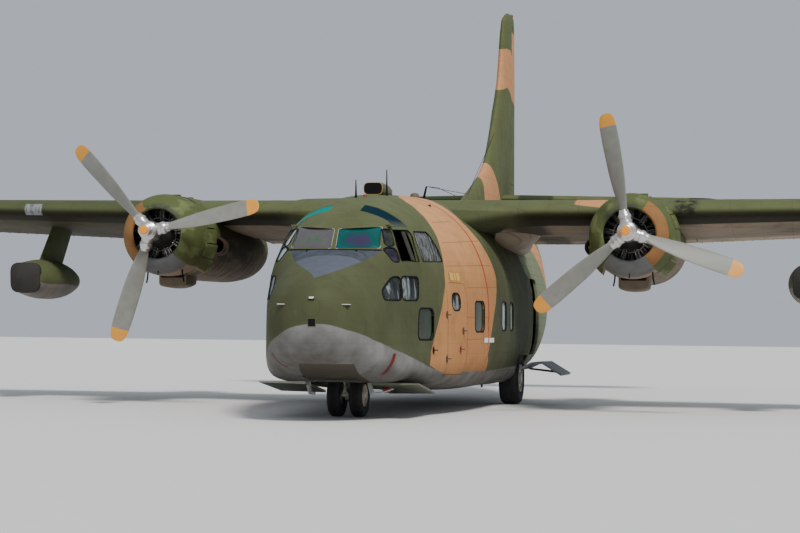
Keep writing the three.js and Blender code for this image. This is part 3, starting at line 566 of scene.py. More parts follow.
def skinPaint(place, zone):
    draw, along, up, underDirtAndShade = zones[zone]
    x, y, z = place.axes()
    station = y + halfLength
    colour = draw(place, x, station, z)
    rows = x if zone == "wing" else z
    rivets = station.lines(along, 0.03) * rows.lines(0.05, 0.012)
    rivets = rivets.most(rows.lines(up, 0.03) * station.lines(0.05, 0.012))
    seams = station.lines(along, 0.012).most(rows.lines(up, 0.012))
    soot = place.noise(2.6, 7.0, 0.65).step(0.42, 0.78)
    streak = place.noise(5.0, 5.0, stretch=(1, 1, 0.22)).step(0.5, 0.85)
    seamTone = 0.07 + station.step(7.0, 8.6) * 0.24 if zone == "hull" else 0.2
    colour = (soot * 0.2 + streak * 0.16 + seams * seamTone).mix(colour, "dirt")
    colour = (place.noise(6.0, 6.0, 0.7).step(0.6, 0.8) * 0.08).mix(colour, (0.42, 0.42, 0.38))
    # Oil and road dirt, and painted shade, darken what faces the ground
    down = place.make("ShaderNodeNewGeometry", output="Normal").axes()[2] * -1
    colour = (down.step(0.05, 0.95) * underDirtAndShade * (0.6 + soot * 0.5)).mix(colour, (0.06, 0.048, 0.034))
    fine = place.noise(38.0, 3.0)
    height = fine * 0.15 + place.noise(1.4, 3.0) * 2.0 - seams * 0.35 + rivets * 0.2
    return {"Base Color": colour, "Roughness": 0.66 + (fine - 0.5) * 0.2 + soot * 0.1,
            "Specular IOR Level": 0.08, "Normal": height.bump(0.35, 0.006)}


# Glass with a tint that wanders over the pane
def panePaint(place, stops, alpha, scale=3.0, rough=0.12, gloss=0.25, stretch=None):
    cloud = place.noise(scale, 3.0, stretch=stretch)
    return {"Base Color": cloud.ramp(stops), "Roughness": rough + cloud * 0.05, "Alpha": alpha,
            "Specular IOR Level": gloss}


# Port windscreen: teal, purple in the middle, blue and violet near the edges
def windscreenPaint(place):
    x, y, z = place.axes()
    drift = (place.noise(5.0, 5.0, stretch=(1, 1, 0.6)) - 0.5) * 1.1
    away = ((x - 0.42) / 0.46).distance((z - 3.15) / 0.26) + drift
    stops = [(0.0, (0.045, 0.028, 0.07)), (0.22, (0.03, 0.035, 0.08)), (0.38, (0.0, 0.07, 0.065)),
             (0.62, (0.0, 0.085, 0.085)), (0.74, (0.01, 0.05, 0.13)), (0.88, (0.07, 0.035, 0.15)),
             (1.0, (0.13, 0.06, 0.16))]
    return {"Base Color": (away / 1.4).ramp(stops), "Roughness": 0.1 + drift * 0.05, "Alpha": 0.95,
            "Specular IOR Level": 0.3}


# Ribbon plate: yellow with plain red and dark green bars
def ribbonPaint(place):
    x, y, z = place.axes()
    worn = place.noise(20.0, 3.0)
    stops = [(0.0, "ribbonGreen"), (0.09, "ribbonYellow")]
    for start in (0.33, 0.55):
        stops += [(start, "ribbonYellow"), (start + 0.03, "ribbonRed"), (start + 0.09, "ribbonRed"),
                  (start + 0.12, "ribbonYellow")]
    stops += [(0.9, "ribbonYellow"), (1.0, "ribbonGreen")]
    bars = ((y + halfLength - 4.03) / 0.55).ramp(stops)
    return {"Base Color": (worn * 0.3).mix(bars, (0.5, 0.42, 0.25)), "Roughness": 0.4 + worn * 0.2}


# Dark pane with fine blind ribs behind it
def ribbedPaint(place):
    x, y, z = place.axes()
    ribs = (z + y * 0.2).lines(0.035, 0.014)
    return {"Base Color": ribs.mix((0.02, 0.024, 0.026), (0.13, 0.15, 0.16)), "Roughness": 0.2 + ribs * 0.3,
            "Specular IOR Level": 0.3}


# Slanting pale pleats of a drawn curtain behind the glass
def curtainPaint(place):
    x, y, z = place.axes()
    slant = y - z * 0.42
    drift = place.noise(2.6, 3.0)
    pleats = (slant + drift * 0.12).lines(0.11, 0.035) * place.noise(8.0, 3.0).step(0.4, 0.6)
    folds = (slant * 1.7 + drift * 0.2).lines(0.21, 0.07) * 0.4
    return {"Base Color": pleats.most(folds).mix((0.03, 0.034, 0.037), (0.2, 0.206, 0.2)),
            "Roughness": 0.4 + pleats * 0.3, "Specular IOR Level": 0.12}


# Roof pane that pales towards its lower end
def fadingPaint(place, upper, lower, low, high):
    x, y, z = place.axes()
    cloud = place.noise(9.0, 4.0, stretch=(1, 0.3, 1))
    return {"Base Color": (z + (cloud - 0.5) * 0.05).step(low, high).mix(lower, upper),
            "Roughness": 0.3 + cloud * 0.1, "Specular IOR Level": 0.06, "IOR": 1.1}


# Brown root fairing with slanting streaks, painted shade ahead of its front edge
def fairingPaint(place):
    x, y, z = place.axes()
    station = y + halfLength
    cloud = place.noise(2.2, 4.0)
    streaks = (station * 0.8 + z * 1.3 + cloud * 0.1).lines(0.24, 0.03) * 0.4
    brown = streaks.mix(cloud.mix((0.2, 0.148, 0.105), (0.36, 0.275, 0.195)), (0.05, 0.04, 0.03))
    return {"Base Color": rootEdge(x, station).mix(brown, "rootShade"), "Roughness": 0.55 + cloud * 0.1,
            "Normal": (cloud - streaks).bump(0.3, 0.006)}


# Grey blades with orange tips, read by the distance from the hub
def bladeFinish(place):
    x, y, z = place.axes()
    away = (x.size() - engineX).distance(z - propellerZ)
    worn = place.noise(6.0, 5.0)
    grey = worn.mix((0.16, 0.165, 0.145), (0.26, 0.26, 0.235))
    orange = worn.mix((0.62, 0.25, 0.02), (0.75, 0.34, 0.04))
    return {"Base Color": away.step(2.045, 2.055).mix(grey, orange), "Roughness": 0.4 + worn * 0.2}


# Gear doors: top, edge and underside each in their own tone, told apart by the way a face looks; pale edges
# are painted highlight and the near-black underside painted shade
def facingLitSheetPaint(place, top, edge, under):
    tilt = place.make("ShaderNodeTexCoord", output="Normal").axes()[2]
    cloud = place.noise(5.0, 5.0)
    mottle = place.noise(2.2, 3.0).step(0.45, 0.6)
    lower = mottle.mix(under, tuple(channel * 1.8 for channel in under))
    colour = tilt.step(0.6, 0.7).mix((tilt * -1).step(0.6, 0.7).mix(edge, lower), top)
    return {"Base Color": (cloud.step(0.5, 0.8) * 0.3).mix(colour, "dirt"), "Roughness": 0.4 + cloud * 0.2}


# Colour, roughness, metal, variation and scale of the clouds; then bump, coat and gloss if not the usual
plainPaints = {
    "rubber": ((0.018, 0.018, 0.019), 0.8, 0, 0.3, 14, 0.4),
    "gear": ((0.42, 0.43, 0.43), 0.42, 0, 0.2, 9),
    "rim": ((0.38, 0.38, 0.37), 0.4, 0.3, 0.2, 12),
    "steel": ((0.62, 0.61, 0.60), 0.3, 0.9, 0.15, 20),
    "door": ((0.055, 0.066, 0.085), 0.45, 0, 0.3, 5),
    "cabin": ((0.10, 0.12, 0.10), 0.7, 0, 0.2, 6),
    "black": ((0.005, 0.005, 0.006), 0.7, 0, 0.3, 6, 0.15, 0, 0.15),
    "engine": ((0.05, 0.048, 0.045), 0.5, 0.5, 0.3, 16),
    "belly": ((0.34, 0.35, 0.36), 0.5, 0, 0.2, 3),
    "olive": (colours["green"], 0.5, 0, 0.2, 5),
    "well": ((0.055, 0.042, 0.032), 0.7, 0, 0.35, 5),
    "podCover": ((0.034, 0.031, 0.028), 0.75, 0, 0.35, 5, 0.6, 0, 0.2),
    "slider": ((0.045, 0.048, 0.035), 0.7, 0, 0.4, 9, 0.15, 0, 0.1),
    "cream": ((0.36, 0.335, 0.25), 0.5, 0, 0.3, 14),
    "white": ((0.78, 0.77, 0.72), 0.45, 0, 0.1, 9),
    "red": ((0.20, 0.022, 0.018), 0.45, 0, 0.25, 12),
    "alloy": ((0.60, 0.60, 0.60), 0.3, 0.85, 0.12, 16),
    "castings": ((0.10, 0.10, 0.095), 0.4, 0.7, 0.4, 22),
    "exhaust": ((0.055, 0.032, 0.024), 0.7, 0.3, 0.4, 14),
    "brownBox": ((0.13, 0.10, 0.065), 0.65, 0, 0.4, 7),
    "legCream": ((0.46, 0.43, 0.36), 0.4, 0, 0.2, 14),
    "orange": ((0.85, 0.30, 0.01), 0.4, 0, 0.12, 10, 0.15, 0.3),
    "brass": ((0.42, 0.28, 0.08), 0.5, 0.2, 0.2, 14),
    "leads": ((0.12, 0.11, 0.10), 0.45, 0.4, 0.2, 14),
    "floor": ((0.72, 0.72, 0.71), 0.8, 0, 0.02, 2, 0.02),
}
# Tints along the clouds, alpha, scale of the clouds, roughness, gloss and stretch
panes = {
    "lens": ([(0.38, (0.10, 0.115, 0.12)), (0.52, (0.26, 0.275, 0.27)), (0.6, (0.12, 0.13, 0.135)),
              (0.72, (0.46, 0.46, 0.44))], 1.0, 6.0, 0.12, 0.4, (3, 1, 0.3)),
    "skyPane": ([(0.35, (0.26, 0.32, 0.38)), (0.65, (0.45, 0.53, 0.62))], 0.96),
    "glass": ([(0.3, (0.03, 0.06, 0.06)), (0.7, (0.09, 0.12, 0.13))], 0.55),
    "screenLilac": ([(0.3, (0.055, 0.11, 0.07)), (0.42, (0.095, 0.105, 0.095)), (0.52, (0.105, 0.082, 0.105)),
                     (0.62, (0.08, 0.105, 0.095)), (0.72, (0.09, 0.072, 0.088))], 0.95, 4.0),
    "darkPane": ([(0.35, (0.006, 0.008, 0.009)), (0.65, (0.045, 0.052, 0.055))], 0.9, 3.2),
    "greenPane": ([(0.35, (0.008, 0.016, 0.006)), (0.65, (0.022, 0.036, 0.016))], 0.95, 2.4),
    # Dark glass with pale vertical streaks as painted highlights
    "highlightStreakPane": ([(0.4, (0.008, 0.01, 0.011)), (0.56, (0.03, 0.036, 0.038)), (0.6, (0.24, 0.27, 0.28)),
                      (0.66, (0.06, 0.07, 0.072)), (0.8, (0.02, 0.024, 0.026))],
                     0.97, 4.6, 0.12, 0.25, (1, 1, 0.16)),
    "violetPane": ([(0.35, (0.012, 0.01, 0.02)), (0.65, (0.05, 0.042, 0.07))], 0.95, 5.0),
}


def makePaints():
    for zone in zones:
        addPaint(zone, skinPaint, zone)
    for name, row in plainPaints.items():
        addPaint(name, plainPaint, *row)
    for name, row in panes.items():
        addPaint(name, panePaint, *row)
    addPaint("fairing", fairingPaint)
    addPaint("ribbon", ribbonPaint)
    addPaint("ribbedPane", ribbedPaint)
    addPaint("curtainPane", curtainPaint)
    addPaint("screenTeal", windscreenPaint)
    addPaint("tealPane", fadingPaint, (0.0, 0.22, 0.195), (0.20, 0.37, 0.33), 3.40, 3.50)
    addPaint("slatePane", fadingPaint, (0.006, 0.022, 0.036), (0.06, 0.078, 0.062), 3.42, 3.56)
    addPaint("blade", bladeFinish)
    addPaint("noseDoor", facingLitSheetPaint, (0.20, 0.23, 0.17), (0.42, 0.41, 0.34), (0.035, 0.042, 0.022))
    addPaint("portDoor", facingLitSheetPaint, (0.07, 0.084, 0.05), (0.10, 0.11, 0.075), (0.03, 0.036, 0.02))
    addPaint("mainDoor", facingLitSheetPaint, (0.07, 0.085, 0.11), (0.16, 0.18, 0.2), (0.012, 0.014, 0.016))


makePaints()
print("stage: materials")

# Fuselage sections: station, half width, widest height, top, bottom, upper and lower squareness
hullRows = [
    (0, 0.06, 1.8, 1.87, 1.73, 2, 2), (0.06, 0.32, 1.78, 2.12, 1.44, 2, 2.1),
    (0.22, 0.57, 1.74, 2.3, 1.18, 2, 2.4), (0.56, 0.82, 1.68, 2.48, 0.96, 2.1, 3),
    (1.05, 0.99, 1.64, 2.7, 0.8, 2.3, 4.2), (1.7, 1.17, 1.62, 2.97, 0.7, 2.5, 5.6),
    (2.08, 1.285, 1.62, 3.44, 0.655, 2.6, 6.4), (2.7, 1.43, 1.64, 3.76, 0.62, 2.5, 7),
    (3.4, 1.59, 1.66, 3.96, 0.58, 2.35, 6.6), (4.5, 1.82, 1.74, 4.11, 0.5, 2.2, 5.4),
    (5.8, 2.01, 1.84, 4.2, 0.42, 2.2, 4.6), (7.6, 2.12, 1.9, 4.28, 0.38, 2.2, 4.2),
    (9.6, 2.14, 1.9, 4.31, 0.385, 2.2, 4), (11.5, 2.15, 1.9, 4.33, 0.42, 2.2, 3.6),
    (13.4, 2.12, 1.95, 4.36, 0.47, 2.2, 3.2), (15, 2.03, 2.08, 4.43, 0.76, 2.2, 2.7),
    (17, 1.73, 2.62, 4.56, 1.56, 2.2, 2.4), (19.2, 1.24, 3.42, 4.76, 2.56, 2.2, 2.2),
    (21.2, 0.76, 4.12, 4.96, 3.44, 2.2, 2.1), (22.5, 0.42, 4.52, 5.06, 4.02, 2.1, 2),
    (23.12, 0.11, 4.74, 4.9, 4.56, 2, 2)]


def slope(first, second):
    return 0 if first * second <= 0 else 2 * first * second / (first + second)


# A smooth curve through the rows of a table, never overshooting them
def smoothRow(rows, value):
    index = 0
    while index < len(rows) - 2 and rows[index + 1][0] < value:
        index += 1
    low, high = rows[index], rows[index + 1]
    before = rows[index - 1] if index else low
    after = rows[index + 2] if index + 2 < len(rows) else high
    span = high[0] - low[0]
    part = min(max((value - low[0]) / span, 0), 1)
    out = []
    for k in range(1, len(low)):
        step = (high[k] - low[k]) / span
        entry = slope((low[k] - before[k]) / (low[0] - before[0]), step) if index else step
        leave = slope((after[k] - high[k]) / (after[0] - high[0]), step) if index + 2 < len(rows) else step
        a = part * part * (3 - 2 * part)
        bend = entry * part * (1 - part) ** 2 - leave * part ** 2 * (1 - part)
        out.append(low[k] * (1 - a) + high[k] * a + span * bend)
    return out


def evenPoints(points, count):
    lengths = [0.0]
    for first, second in zip(points, points[1:]):
        lengths.append(lengths[-1] + math.dist(first, second))
    out, index = [], 0
    for step in range(count):
        goal = lengths[-1] * step / count
        while lengths[index + 1] < goal:
            index += 1
        part = (goal - lengths[index]) / (lengths[index + 1] - lengths[index])
        out.append(tuple(a + (b - a) * part for a, b in zip(points[index], points[index + 1])))
    return out


# Points in a quarter of a hull ring
ringQuarter = 28


# Superellipse quarter from the side to the middle line, evenly spaced points
def quarterArc(half, reach, power, count):
    turns = [math.pi / 2 * step / 100 for step in range(100)]
    fine = [(half * math.cos(turn) ** (2 / power), reach * math.sin(turn) ** (2 / power)) for turn in turns]
    return evenPoints(fine + [(0.0, reach)], count) + [(0.0, reach)]


def hullRing(station, inset=0.0):
    half, wide, top, bottom, upper, lower = smoothRow(hullRows, station)
    half, rise, drop = [max(reach - inset, 0.004) for reach in (half, top - wide, wide - bottom)]
    over = quarterArc(half, rise, upper, ringQuarter)
    under = quarterArc(half, drop, lower, ringQuarter)
    ring = [(x, wide + z) for x, z in over]
    ring += [(-x, wide + z) for x, z in reversed(over[:-1])]
    ring += [(-x, wide - z) for x, z in under[1:]]
    ring += [(x, wide - z) for x, z in reversed(under[1:-1])]
    return [at(x, station, z) for x, z in ring]


def hullWidth(station, z):
    half, wide, top, bottom, upper, lower = smoothRow(hullRows, station)
    part, power = ((z - wide) / (top - wide), upper) if z >= wide else ((wide - z) / (wide - bottom), lower)
    return half * max(0.0, 1 - min(part, 1) ** power) ** (1 / power)


# Station where the nose or windscreen meets a point seen from ahead
def hullFront(x, z):
    low, high = 0.0, 5.0
    for step in range(30):
        middle = (low + high) / 2
        row = smoothRow(hullRows, middle)
        inside = row[3] < z < row[2] and hullWidth(middle, z) > abs(x)
        low, high = (low, middle) if inside else (middle, high)
    return high


def hullTop(x, station):
    half, wide, top, bottom, upper, lower = smoothRow(hullRows, station)
    return wide + (top - wide) * max(0.0, 1 - (abs(x) / half) ** upper) ** (1 / upper)


def stationsBetween(start, end, spacing):
    count = max(2, round((end - start) / spacing))
    return [start + (end - start) * k / count for k in range(count + 1)]


def hullStations(start, end):
    if start > 0:
        return stationsBetween(start, end, 0.12)
    nose = [0, 0.006, 0.02, 0.04, 0.065, 0.1, 0.14, 0.19, 0.25, 0.32, 0.4, 0.5]
    return nose + stationsBetween(0.6, end, 0.08)


# Wall of the hull between two stations, painted outside and cabin coloured inside
def hullShell(name, start, end, thickness, body="airframe"):
    stations = hullStations(start, end)
    outer = [hullRing(station) for station in stations]
    count = len(outer[0])
    if start == 0:
        tip = sum(outer[0], Vector()) / count
        cap = [[tip + (point - tip) * part - Vector((0, rise, 0)) for point in outer[0]]
               for part, rise in ((0.15, 0.006), (0.6, 0.004))]
        inner = [hullRing(station, thickness) for station in reversed(stations) if station > 0.3]
        rings = cap + outer + inner
    else:
        rings = outer + [hullRing(station, thickness) for station in reversed(stations)] + [outer[0]]
    capped = start == 0
    piece = loftPiece(name, rings, "hull", body, capped, capped)
    piece.data.materials.append(paints["cabin"])
    first = (len(stations) + (2 if capped else 0)) * count
    last = len(piece.data.polygons) - (2 if capped else 0)
    for index in range(first, last):
        piece.data.polygons[index].material_index = 1
    return piece


def cutBy(piece, tools, operation="DIFFERENCE"):
    for tool in tools:
        cutter = piece.modifiers.new("cut", "BOOLEAN")
        cutter.operation = operation
        cutter.solver = "EXACT"
        cutter.object = tool
    bakeModifiers(piece)
    for tool in tools:
        bpy.data.objects.remove(tool)
    return sharpen(piece)


def cutterMesh(points, faces):
    mesh = bpy.data.meshes.new("cutter")
    mesh.from_pydata([tuple(point) for point in points], [], faces)
    cutter = bpy.data.objects.new("cutter", mesh)
    bpy.context.collection.objects.link(cutter)
    fixNormals(cutter)
    return cutter


def cutterBox(x0, x1, s0, s1, z0, z1):
    points = [at(x, s, z) for x in (x0, x1) for s in (s0, s1) for z in (z0, z1)]
    faces = [(0, 1, 3, 2), (4, 6, 7, 5), (0, 4, 5, 1), (2, 3, 7, 6), (0, 2, 6, 4), (1, 5, 7, 3)]
    return cutterMesh(points, faces)


# Prisms between pairs of outlines, as one cutter
def cutterPrisms(pairs):
    return cutterMesh(*joined([loftShape([near, far]) for near, far in pairs]))


def bend(start, middle, end, part):
    return start * (1 - part) ** 2 + middle * 2 * part * (1 - part) + end * part ** 2


# Polygon with rounded corners, from corner points and one radius or one for each corner
def roundedOutline(corners, radius, steps=6):
    out = []
    for index, corner in enumerate(corners):
        corner = Vector(corner)
        back = Vector(corners[index - 1]) - corner
        ahead = Vector(corners[(index + 1) % len(corners)]) - corner
        wanted = radius[index] if isinstance(radius, (list, tuple)) else radius
        reach = min(wanted, back.length * 0.48, ahead.length * 0.48)
        if reach == 0:
            out.append(corner)
            continue
        start, end = corner + back.normalized() * reach, corner + ahead.normalized() * reach
        out += [bend(start, corner, end, step / steps) for step in range(steps + 1)]
    return out


def boxOutline(left, right, bottom, top, radius):
    return roundedOutline([(left, top), (right, top), (right, bottom), (left, bottom)], radius)


def onSide(side):
    return lambda point, lift: at(side * (hullWidth(point[0], point[1]) + lift), point[0], point[1])


def onFront(point, lift):
    return at(point[0], hullFront(point[0], point[1]) - lift, point[1])


def onTop(side):
    return lambda point, lift: at(side * point[0], point[1], hullTop(point[0], point[1]) + lift)


def grownOutline(outline, margin):
    centre = sum(outline, Vector((0, 0))) / len(outline)
    turn = sum((b - centre).x * (a - centre).y - (a - centre).x * (b - centre).y
               for a, b in zip(outline, outline[1:] + outline[:1]))
    out = []
    for index, point in enumerate(outline):
        along = (outline[(index + 1) % len(outline)] - outline[index - 1]).normalized()
        out.append(point + Vector((-along.y, along.x)) * (margin if turn > 0 else -margin))
    return out


# Curved pane lying on the hull, made of outlines shrinking to the middle
def hullPane(name, outline, place, material, body="airframe", lift=0.0, loops=5):
    centre = sum(outline, Vector((0, 0))) / len(outline)
    points = []
    for loop in range(loops):
        part = 1 - loop / loops
        points += [place(centre + (point - centre) * part, lift) for point in outline]
    points.append(place(centre, lift))
    count = len(outline)
    faces = gridFaces(loops, count)
    last = (loops - 1) * count
    faces += [(last + k, last + (k + 1) % count, len(points) - 1) for k in range(count)]
    return newPiece(name, points, faces, material, body)


# Raised rim round a window, from its outline outwards
def hullRim(name, outline, place, width, height, material, body="airframe", depth=0.02):
    section = [(0, -depth), (0, height * 0.7), (width * 0.2, height), (width * 0.8, height),
               (width, height * 0.5), (width, -depth)]
    rings = []
    for out, lift in section:
        rings.append([place(point, lift) for point in (grownOutline(outline, out) if out else outline)])
    return loftPiece(name, rings + [rings[0]], material, body, False, False, 40)


# Foils: parts of the chord, height of the upper and of the lower surface

wingFoil = [
    (0, 0, 0), (0.0025, 0.0098, -0.0092), (0.006, 0.0152, -0.0142), (0.012, 0.0212, -0.02),
    (0.02, 0.027, -0.026), (0.04, 0.039, -0.0352), (0.08, 0.055, -0.045), (0.2, 0.07, -0.066),
    (0.35, 0.073, -0.082), (0.55, 0.049, -0.092), (0.73, 0.002, -0.1), (1, -0.109, -0.115)]
tailFoil = [
    (0, 0, 0), (0.004, 0.0095, -0.0095), (0.012, 0.0163, -0.0163), (0.03, 0.025, -0.025),
    (0.12, 0.044, -0.044), (0.3, 0.052, -0.052), (0.62, 0.034, -0.034), (1, 0.004, -0.004)]
# Places across the span: leading edge, chord and height
wingRows = [(0, wingLead, wingChord, wingHeight), (engineX, wingLead, wingChord, wingHeight),
            (16.2, 8.46, 2.11, 4.21), (16.765, 8.86, 1.25, 4.2)]
tailRows = [(0, 20.25, 2.8, 5.1), (5.3, 20.8, 1.9, 5.075), (5.85, 21.1, 1.25, 5.075)]
foilSteps = [
    0, 0.0012, 0.0025, 0.0045, 0.007, 0.011, 0.016, 0.023, 0.032, 0.045, 0.06, 0.08, 0.11, 0.15, 0.2, 0.26,
    0.33, 0.41, 0.5, 0.58, 0.65, 0.7]


def straightRow(rows, value):
    index = 0
    while index < len(rows) - 2 and rows[index + 1][0] < value:
        index += 1
    low, high = rows[index], rows[index + 1]
    part = (value - low[0]) / (high[0] - low[0])
    return [a + (b - a) * part for a, b in zip(low[1:], high[1:])]


def foilRing(foil, rows, x, start, end, slim=1.0, shift=0.0, shrink=1.0):
    lead, chord, z = straightRow(rows, abs(x))
    lead, chord = lead + shift, chord * shrink
    cuts = [start] + [aft for aft in foilSteps if start < aft < end] + [end]
    surface = {aft: smoothRow(foil, aft) for aft in cuts}
    upper = [at(x, lead + aft * chord, z + surface[aft][0] * chord * slim) for aft in cuts]
    lower = [at(x, lead + aft * chord, z + surface[aft][1] * chord * slim) for aft in reversed(cuts)]
    return upper + (lower[:-1] if start == 0 else lower)


def foilPiece(name, foil, rows, stations, start, end, material):
    return loftPiece(name, [foilRing(foil, rows, x, start, end) for x in stations], material)


# Rounded tips: where they start, how far they reach, and how the chord shrinks towards the end
tips = {"wing": {"from": 16.19, "reach": 0.575, "steps": 9, "least": 0.42, "power": 0.9, "shift": 0.46},
        "tail": {"from": 5.29, "reach": 0.56, "steps": 7, "least": 0.5, "power": 1, "shift": 0.5}}


def tipRings(foil, rows, side, tip):
    lead, chord, z = straightRow(rows, tip["from"])
    level = [(0, lead, chord, z), (20, lead, chord, z)]
    rings = []
    for step in range(tip["steps"] + 1):
        part = step / tip["steps"]
        turn = part * math.pi / 2
        shrink = tip["least"] + (1 - tip["least"]) * math.cos(turn) ** tip["power"]
        x = side * (tip["from"] + tip["reach"] * math.sin(turn))
        slim = math.sqrt(max(1 - (part * 0.995) ** 2, 0))
        rings.append(foilRing(foil, level, x, 0, 1, slim, chord * (1 - shrink) * tip["shift"], shrink))
    return rings


def makeWings():
    wholeSpan = [-5.64, -engineX, -3.4, -2.1, 0, 2.1, 3.4, engineX, 5.64]
    centre = foilPiece("wingCentreSkin", wingFoil, wingRows, wholeSpan, 0, 0.722, "wing")
    root = foilPiece("wingRootSkin", wingFoil, wingRows, [-2.12, 0, 2.12], 0.6, 1, "wing")
    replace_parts(centre, "wing_centre")
    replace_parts(root, "wing_centre")
    for side, word in sides:
        stations = [side * x for x in (5.643, 7, 8.5, 10, 11.5, 13, 14.5, 15.6, tips["wing"]["from"])]
        outer = foilPiece("wingOuterSkin_" + word, wingFoil, wingRows, stations, 0, 0.722, "wing")
        tip = loftPiece("wingTipSkin_" + word, tipRings(wingFoil, wingRows, side, tips["wing"]), "wing")
        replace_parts(outer, "wing_outer_" + word)
        fill = [side * x for x in (5.42, 5.6, 5.765)]
        foilPiece("trailingFill_" + word, wingFoil, wingRows, fill, 0.6, 1, "wing")
        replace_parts(tip, "wing_outer_" + word)


# Small brackets under the trailing edges, and the lamp in the starboard leading edge
trailingRuns = {"flap_inner": (2.26, 3.8), "flap_outer": (5.86, 10.2), "aileron": (10.4, 16.0)}


def makeWingFittings():
    for side, word in sides:
        for body, (first, last) in trailingRuns.items():
            count = int((last - first) / 0.21)
            shapes = []
            for x in [first + (last - first) * k / count for k in range(count + 1)]:
                lead, chord, z = straightRow(wingRows, x)
                spot = at(side * x, lead + chord * 0.985, z - chord * 0.1145 - 0.003)
                shapes.append(blockShape(spot, (0.014, 0.06, 0.013), (0, 1, 0.02)))
            shapePiece("trailingBrackets_%s_%s" % (body, word), joined(shapes), "black", body + "_" + word)
    spans = (-8.26, -8.16, -8.06, -7.96, -7.87)
    loftPiece("landingLamp", [foilRing(wingFoil, wingRows, x, 0, 0.03, 1.04, -0.006) for x in spans], "lens")
    beacon = [(0.045, -0.02), (0.045, 0.03), (0.034, 0.055), (0.004, 0.066)]
    turnedPiece("finBeacon", beacon, at(0, 22.45, 10.305), (0, 0, 1), "red", steps=28)


# Fin

finRows = [
    (4.6, 14.4, 23.15), (5.53, 17.37, 23.24), (5.98, 18.29, 23.21), (7.21, 19.53, 23.13),
    (8.28, 20.32, 23.11), (9.98, 20.92, 22.93), (10.14, 21.2, 22.9), (10.26, 21.55, 22.84),
    (10.31, 21.9, 22.76)]
finSteps = [0, 0.004, 0.01, 0.02, 0.035, 0.06, 0.1, 0.16, 0.24, 0.34, 0.46, 0.6, 0.75, 0.88, 1]
rudderPost = 21.95


def finRing(z, end, slim=1.0):
    lead, trail = smoothRow(finRows, z)
    chord = trail - lead
    thick = min(1, 3.4 / chord) * slim
    last = (rudderPost - 0.012 - lead) / chord if end == "post" else 1
    cuts = [aft * last for aft in finSteps]
    halves = [smoothRow(tailFoil, aft)[0] * chord * thick for aft in cuts]
    right = [at(half, lead + aft * chord, z) for aft, half in zip(cuts, halves)]
    left = [at(-half, lead + aft * chord, z) for aft, half in list(zip(cuts, halves))[:0:-1]]
    return right + left


def makeFin():
    lower = [finRing(4.62 + (5.628 - 4.62) * k / 16, "trail") for k in range(17)]
    middle = [finRing(5.625 + (9.975 - 5.625) * k / 36, "post") for k in range(37)]
    upper = [finRing(9.972 + 0.335 * k / 9, "trail", math.sqrt(1 - (k / 9.2) ** 2)) for k in range(10)]
    for name, rings in (("finRootSkin", lower), ("finSkin", middle), ("finCapSkin", upper)):
        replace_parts(loftPiece(name, rings, "tail"), "fin")


def makeTailplane():
    span = [-5.29, -3.5, -1.5, 0, 1.5, 3.5, 5.29]
    main = foilPiece("tailplaneSkin", tailFoil, tailRows, span, 0, 0.632, "tail")
    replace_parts(main, "tailplane")
    for side, word in sides:
        tip = loftPiece("tailplaneTip_" + word, tipRings(tailFoil, tailRows, side, tips["tail"]), "tail")
        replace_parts(tip, "tailplane")


# Windows on the hull's side: outline as (station, height), corner radius, port and starboard pane, rim width
sideWindows = {
    "pillar": ([(2.24, 3.35), (2.38, 3.35), (2.17, 3.08), (2.11, 3.05), (2.01, 3.04), (2.01, 3.09),
                (2.09, 3.21)], 0.05, ("darkPane", "skyPane"), 0.012),
    "quarter": ([(1.95, 2.98), (2.0, 3.01), (2.11, 3.0), (2.12, 2.94), (2.08, 2.81), (2.04, 2.77),
                 (1.96, 2.77), (1.94, 2.79), (1.93, 2.95)], 0.03, ("violetPane", "skyPane"), 0.02),
    "sliding": ([(2.43, 3.34), (2.94, 3.36), (2.97, 3.29), (2.80, 2.80), (2.13, 2.79), (2.22, 3.06)],
                0.03, (None, "ribbedPane"), 0.012),
    "rear": ([(3.14, 3.35), (3.74, 3.37), (3.8, 3.31), (3.87, 3.06), (3.88, 2.84), (2.96, 2.81), (3.0, 3.15)],
             0.04, ("curtainPane", "ribbedPane"), 0.012),
    "triangle": ([(1.32, 2.23), (1.81, 2.49), (1.94, 2.49), (1.86, 2.1), (1.3, 2.1)],
                 0.09, ("highlightStreakPane", "skyPane"), 0.024),
    "square": ([(1.98, 2.5), (2.6, 2.51), (2.49, 2.11), (1.91, 2.1)],
               0.1, ("highlightStreakPane", "skyPane"), 0.024),
    "tall": ([(2.53, 1.95), (3.13, 1.95), (3.13, 1.42), (2.49, 1.42)],
             0.12, ("greenPane", "greenPane"), 0.03),
}
# Windows of the cargo hold: first and last station, bottom and top, panes to port and starboard
wallWindows = {
    "first": ((5.24, 5.85, 1.57, 2.12), ("greenPane", "greenPane")),
    "second": ((7.45, 7.93, 1.6, 2.15), ("skyPane", "greenPane")),
    "third": ((8.44, 8.84, 1.6, 2.15), ("skyPane", "greenPane")),
}
windscreenOutline = roundedOutline([(0.04, 3.335), (0.755, 3.385), (0.80, 3.0), (0.045, 2.985)], 0.03)
windscreenPanes, roofPanes = ("screenTeal", "screenLilac"), ("slatePane", "tealPane")
roofOutline = roundedOutline([(0.29, 2.94), (0.52, 2.94), (0.75, 2.94), (0.92, 3.0), (1.06, 3.04),
                              (0.9, 2.53), (0.79, 2.59), (0.66, 2.56), (0.49, 2.54), (0.28, 2.56)], 0.03)
crewDoorway = {"from": 3.8, "to": 4.8, "low": 0.76, "high": 2.46, "curve": 0.24}
doorWindow = boxOutline(4.02, 4.41, 1.955, 2.255, 0.16)
sideDoorway = {"from": 11.76, "to": 12.78, "low": 1.06, "high": 2.75, "curve": 0.16}


def crossPrism(outline, side, near=0.5, far=2.5):
    return [at(side * near, s, z) for s, z in outline], [at(side * far, s, z) for s, z in outline]


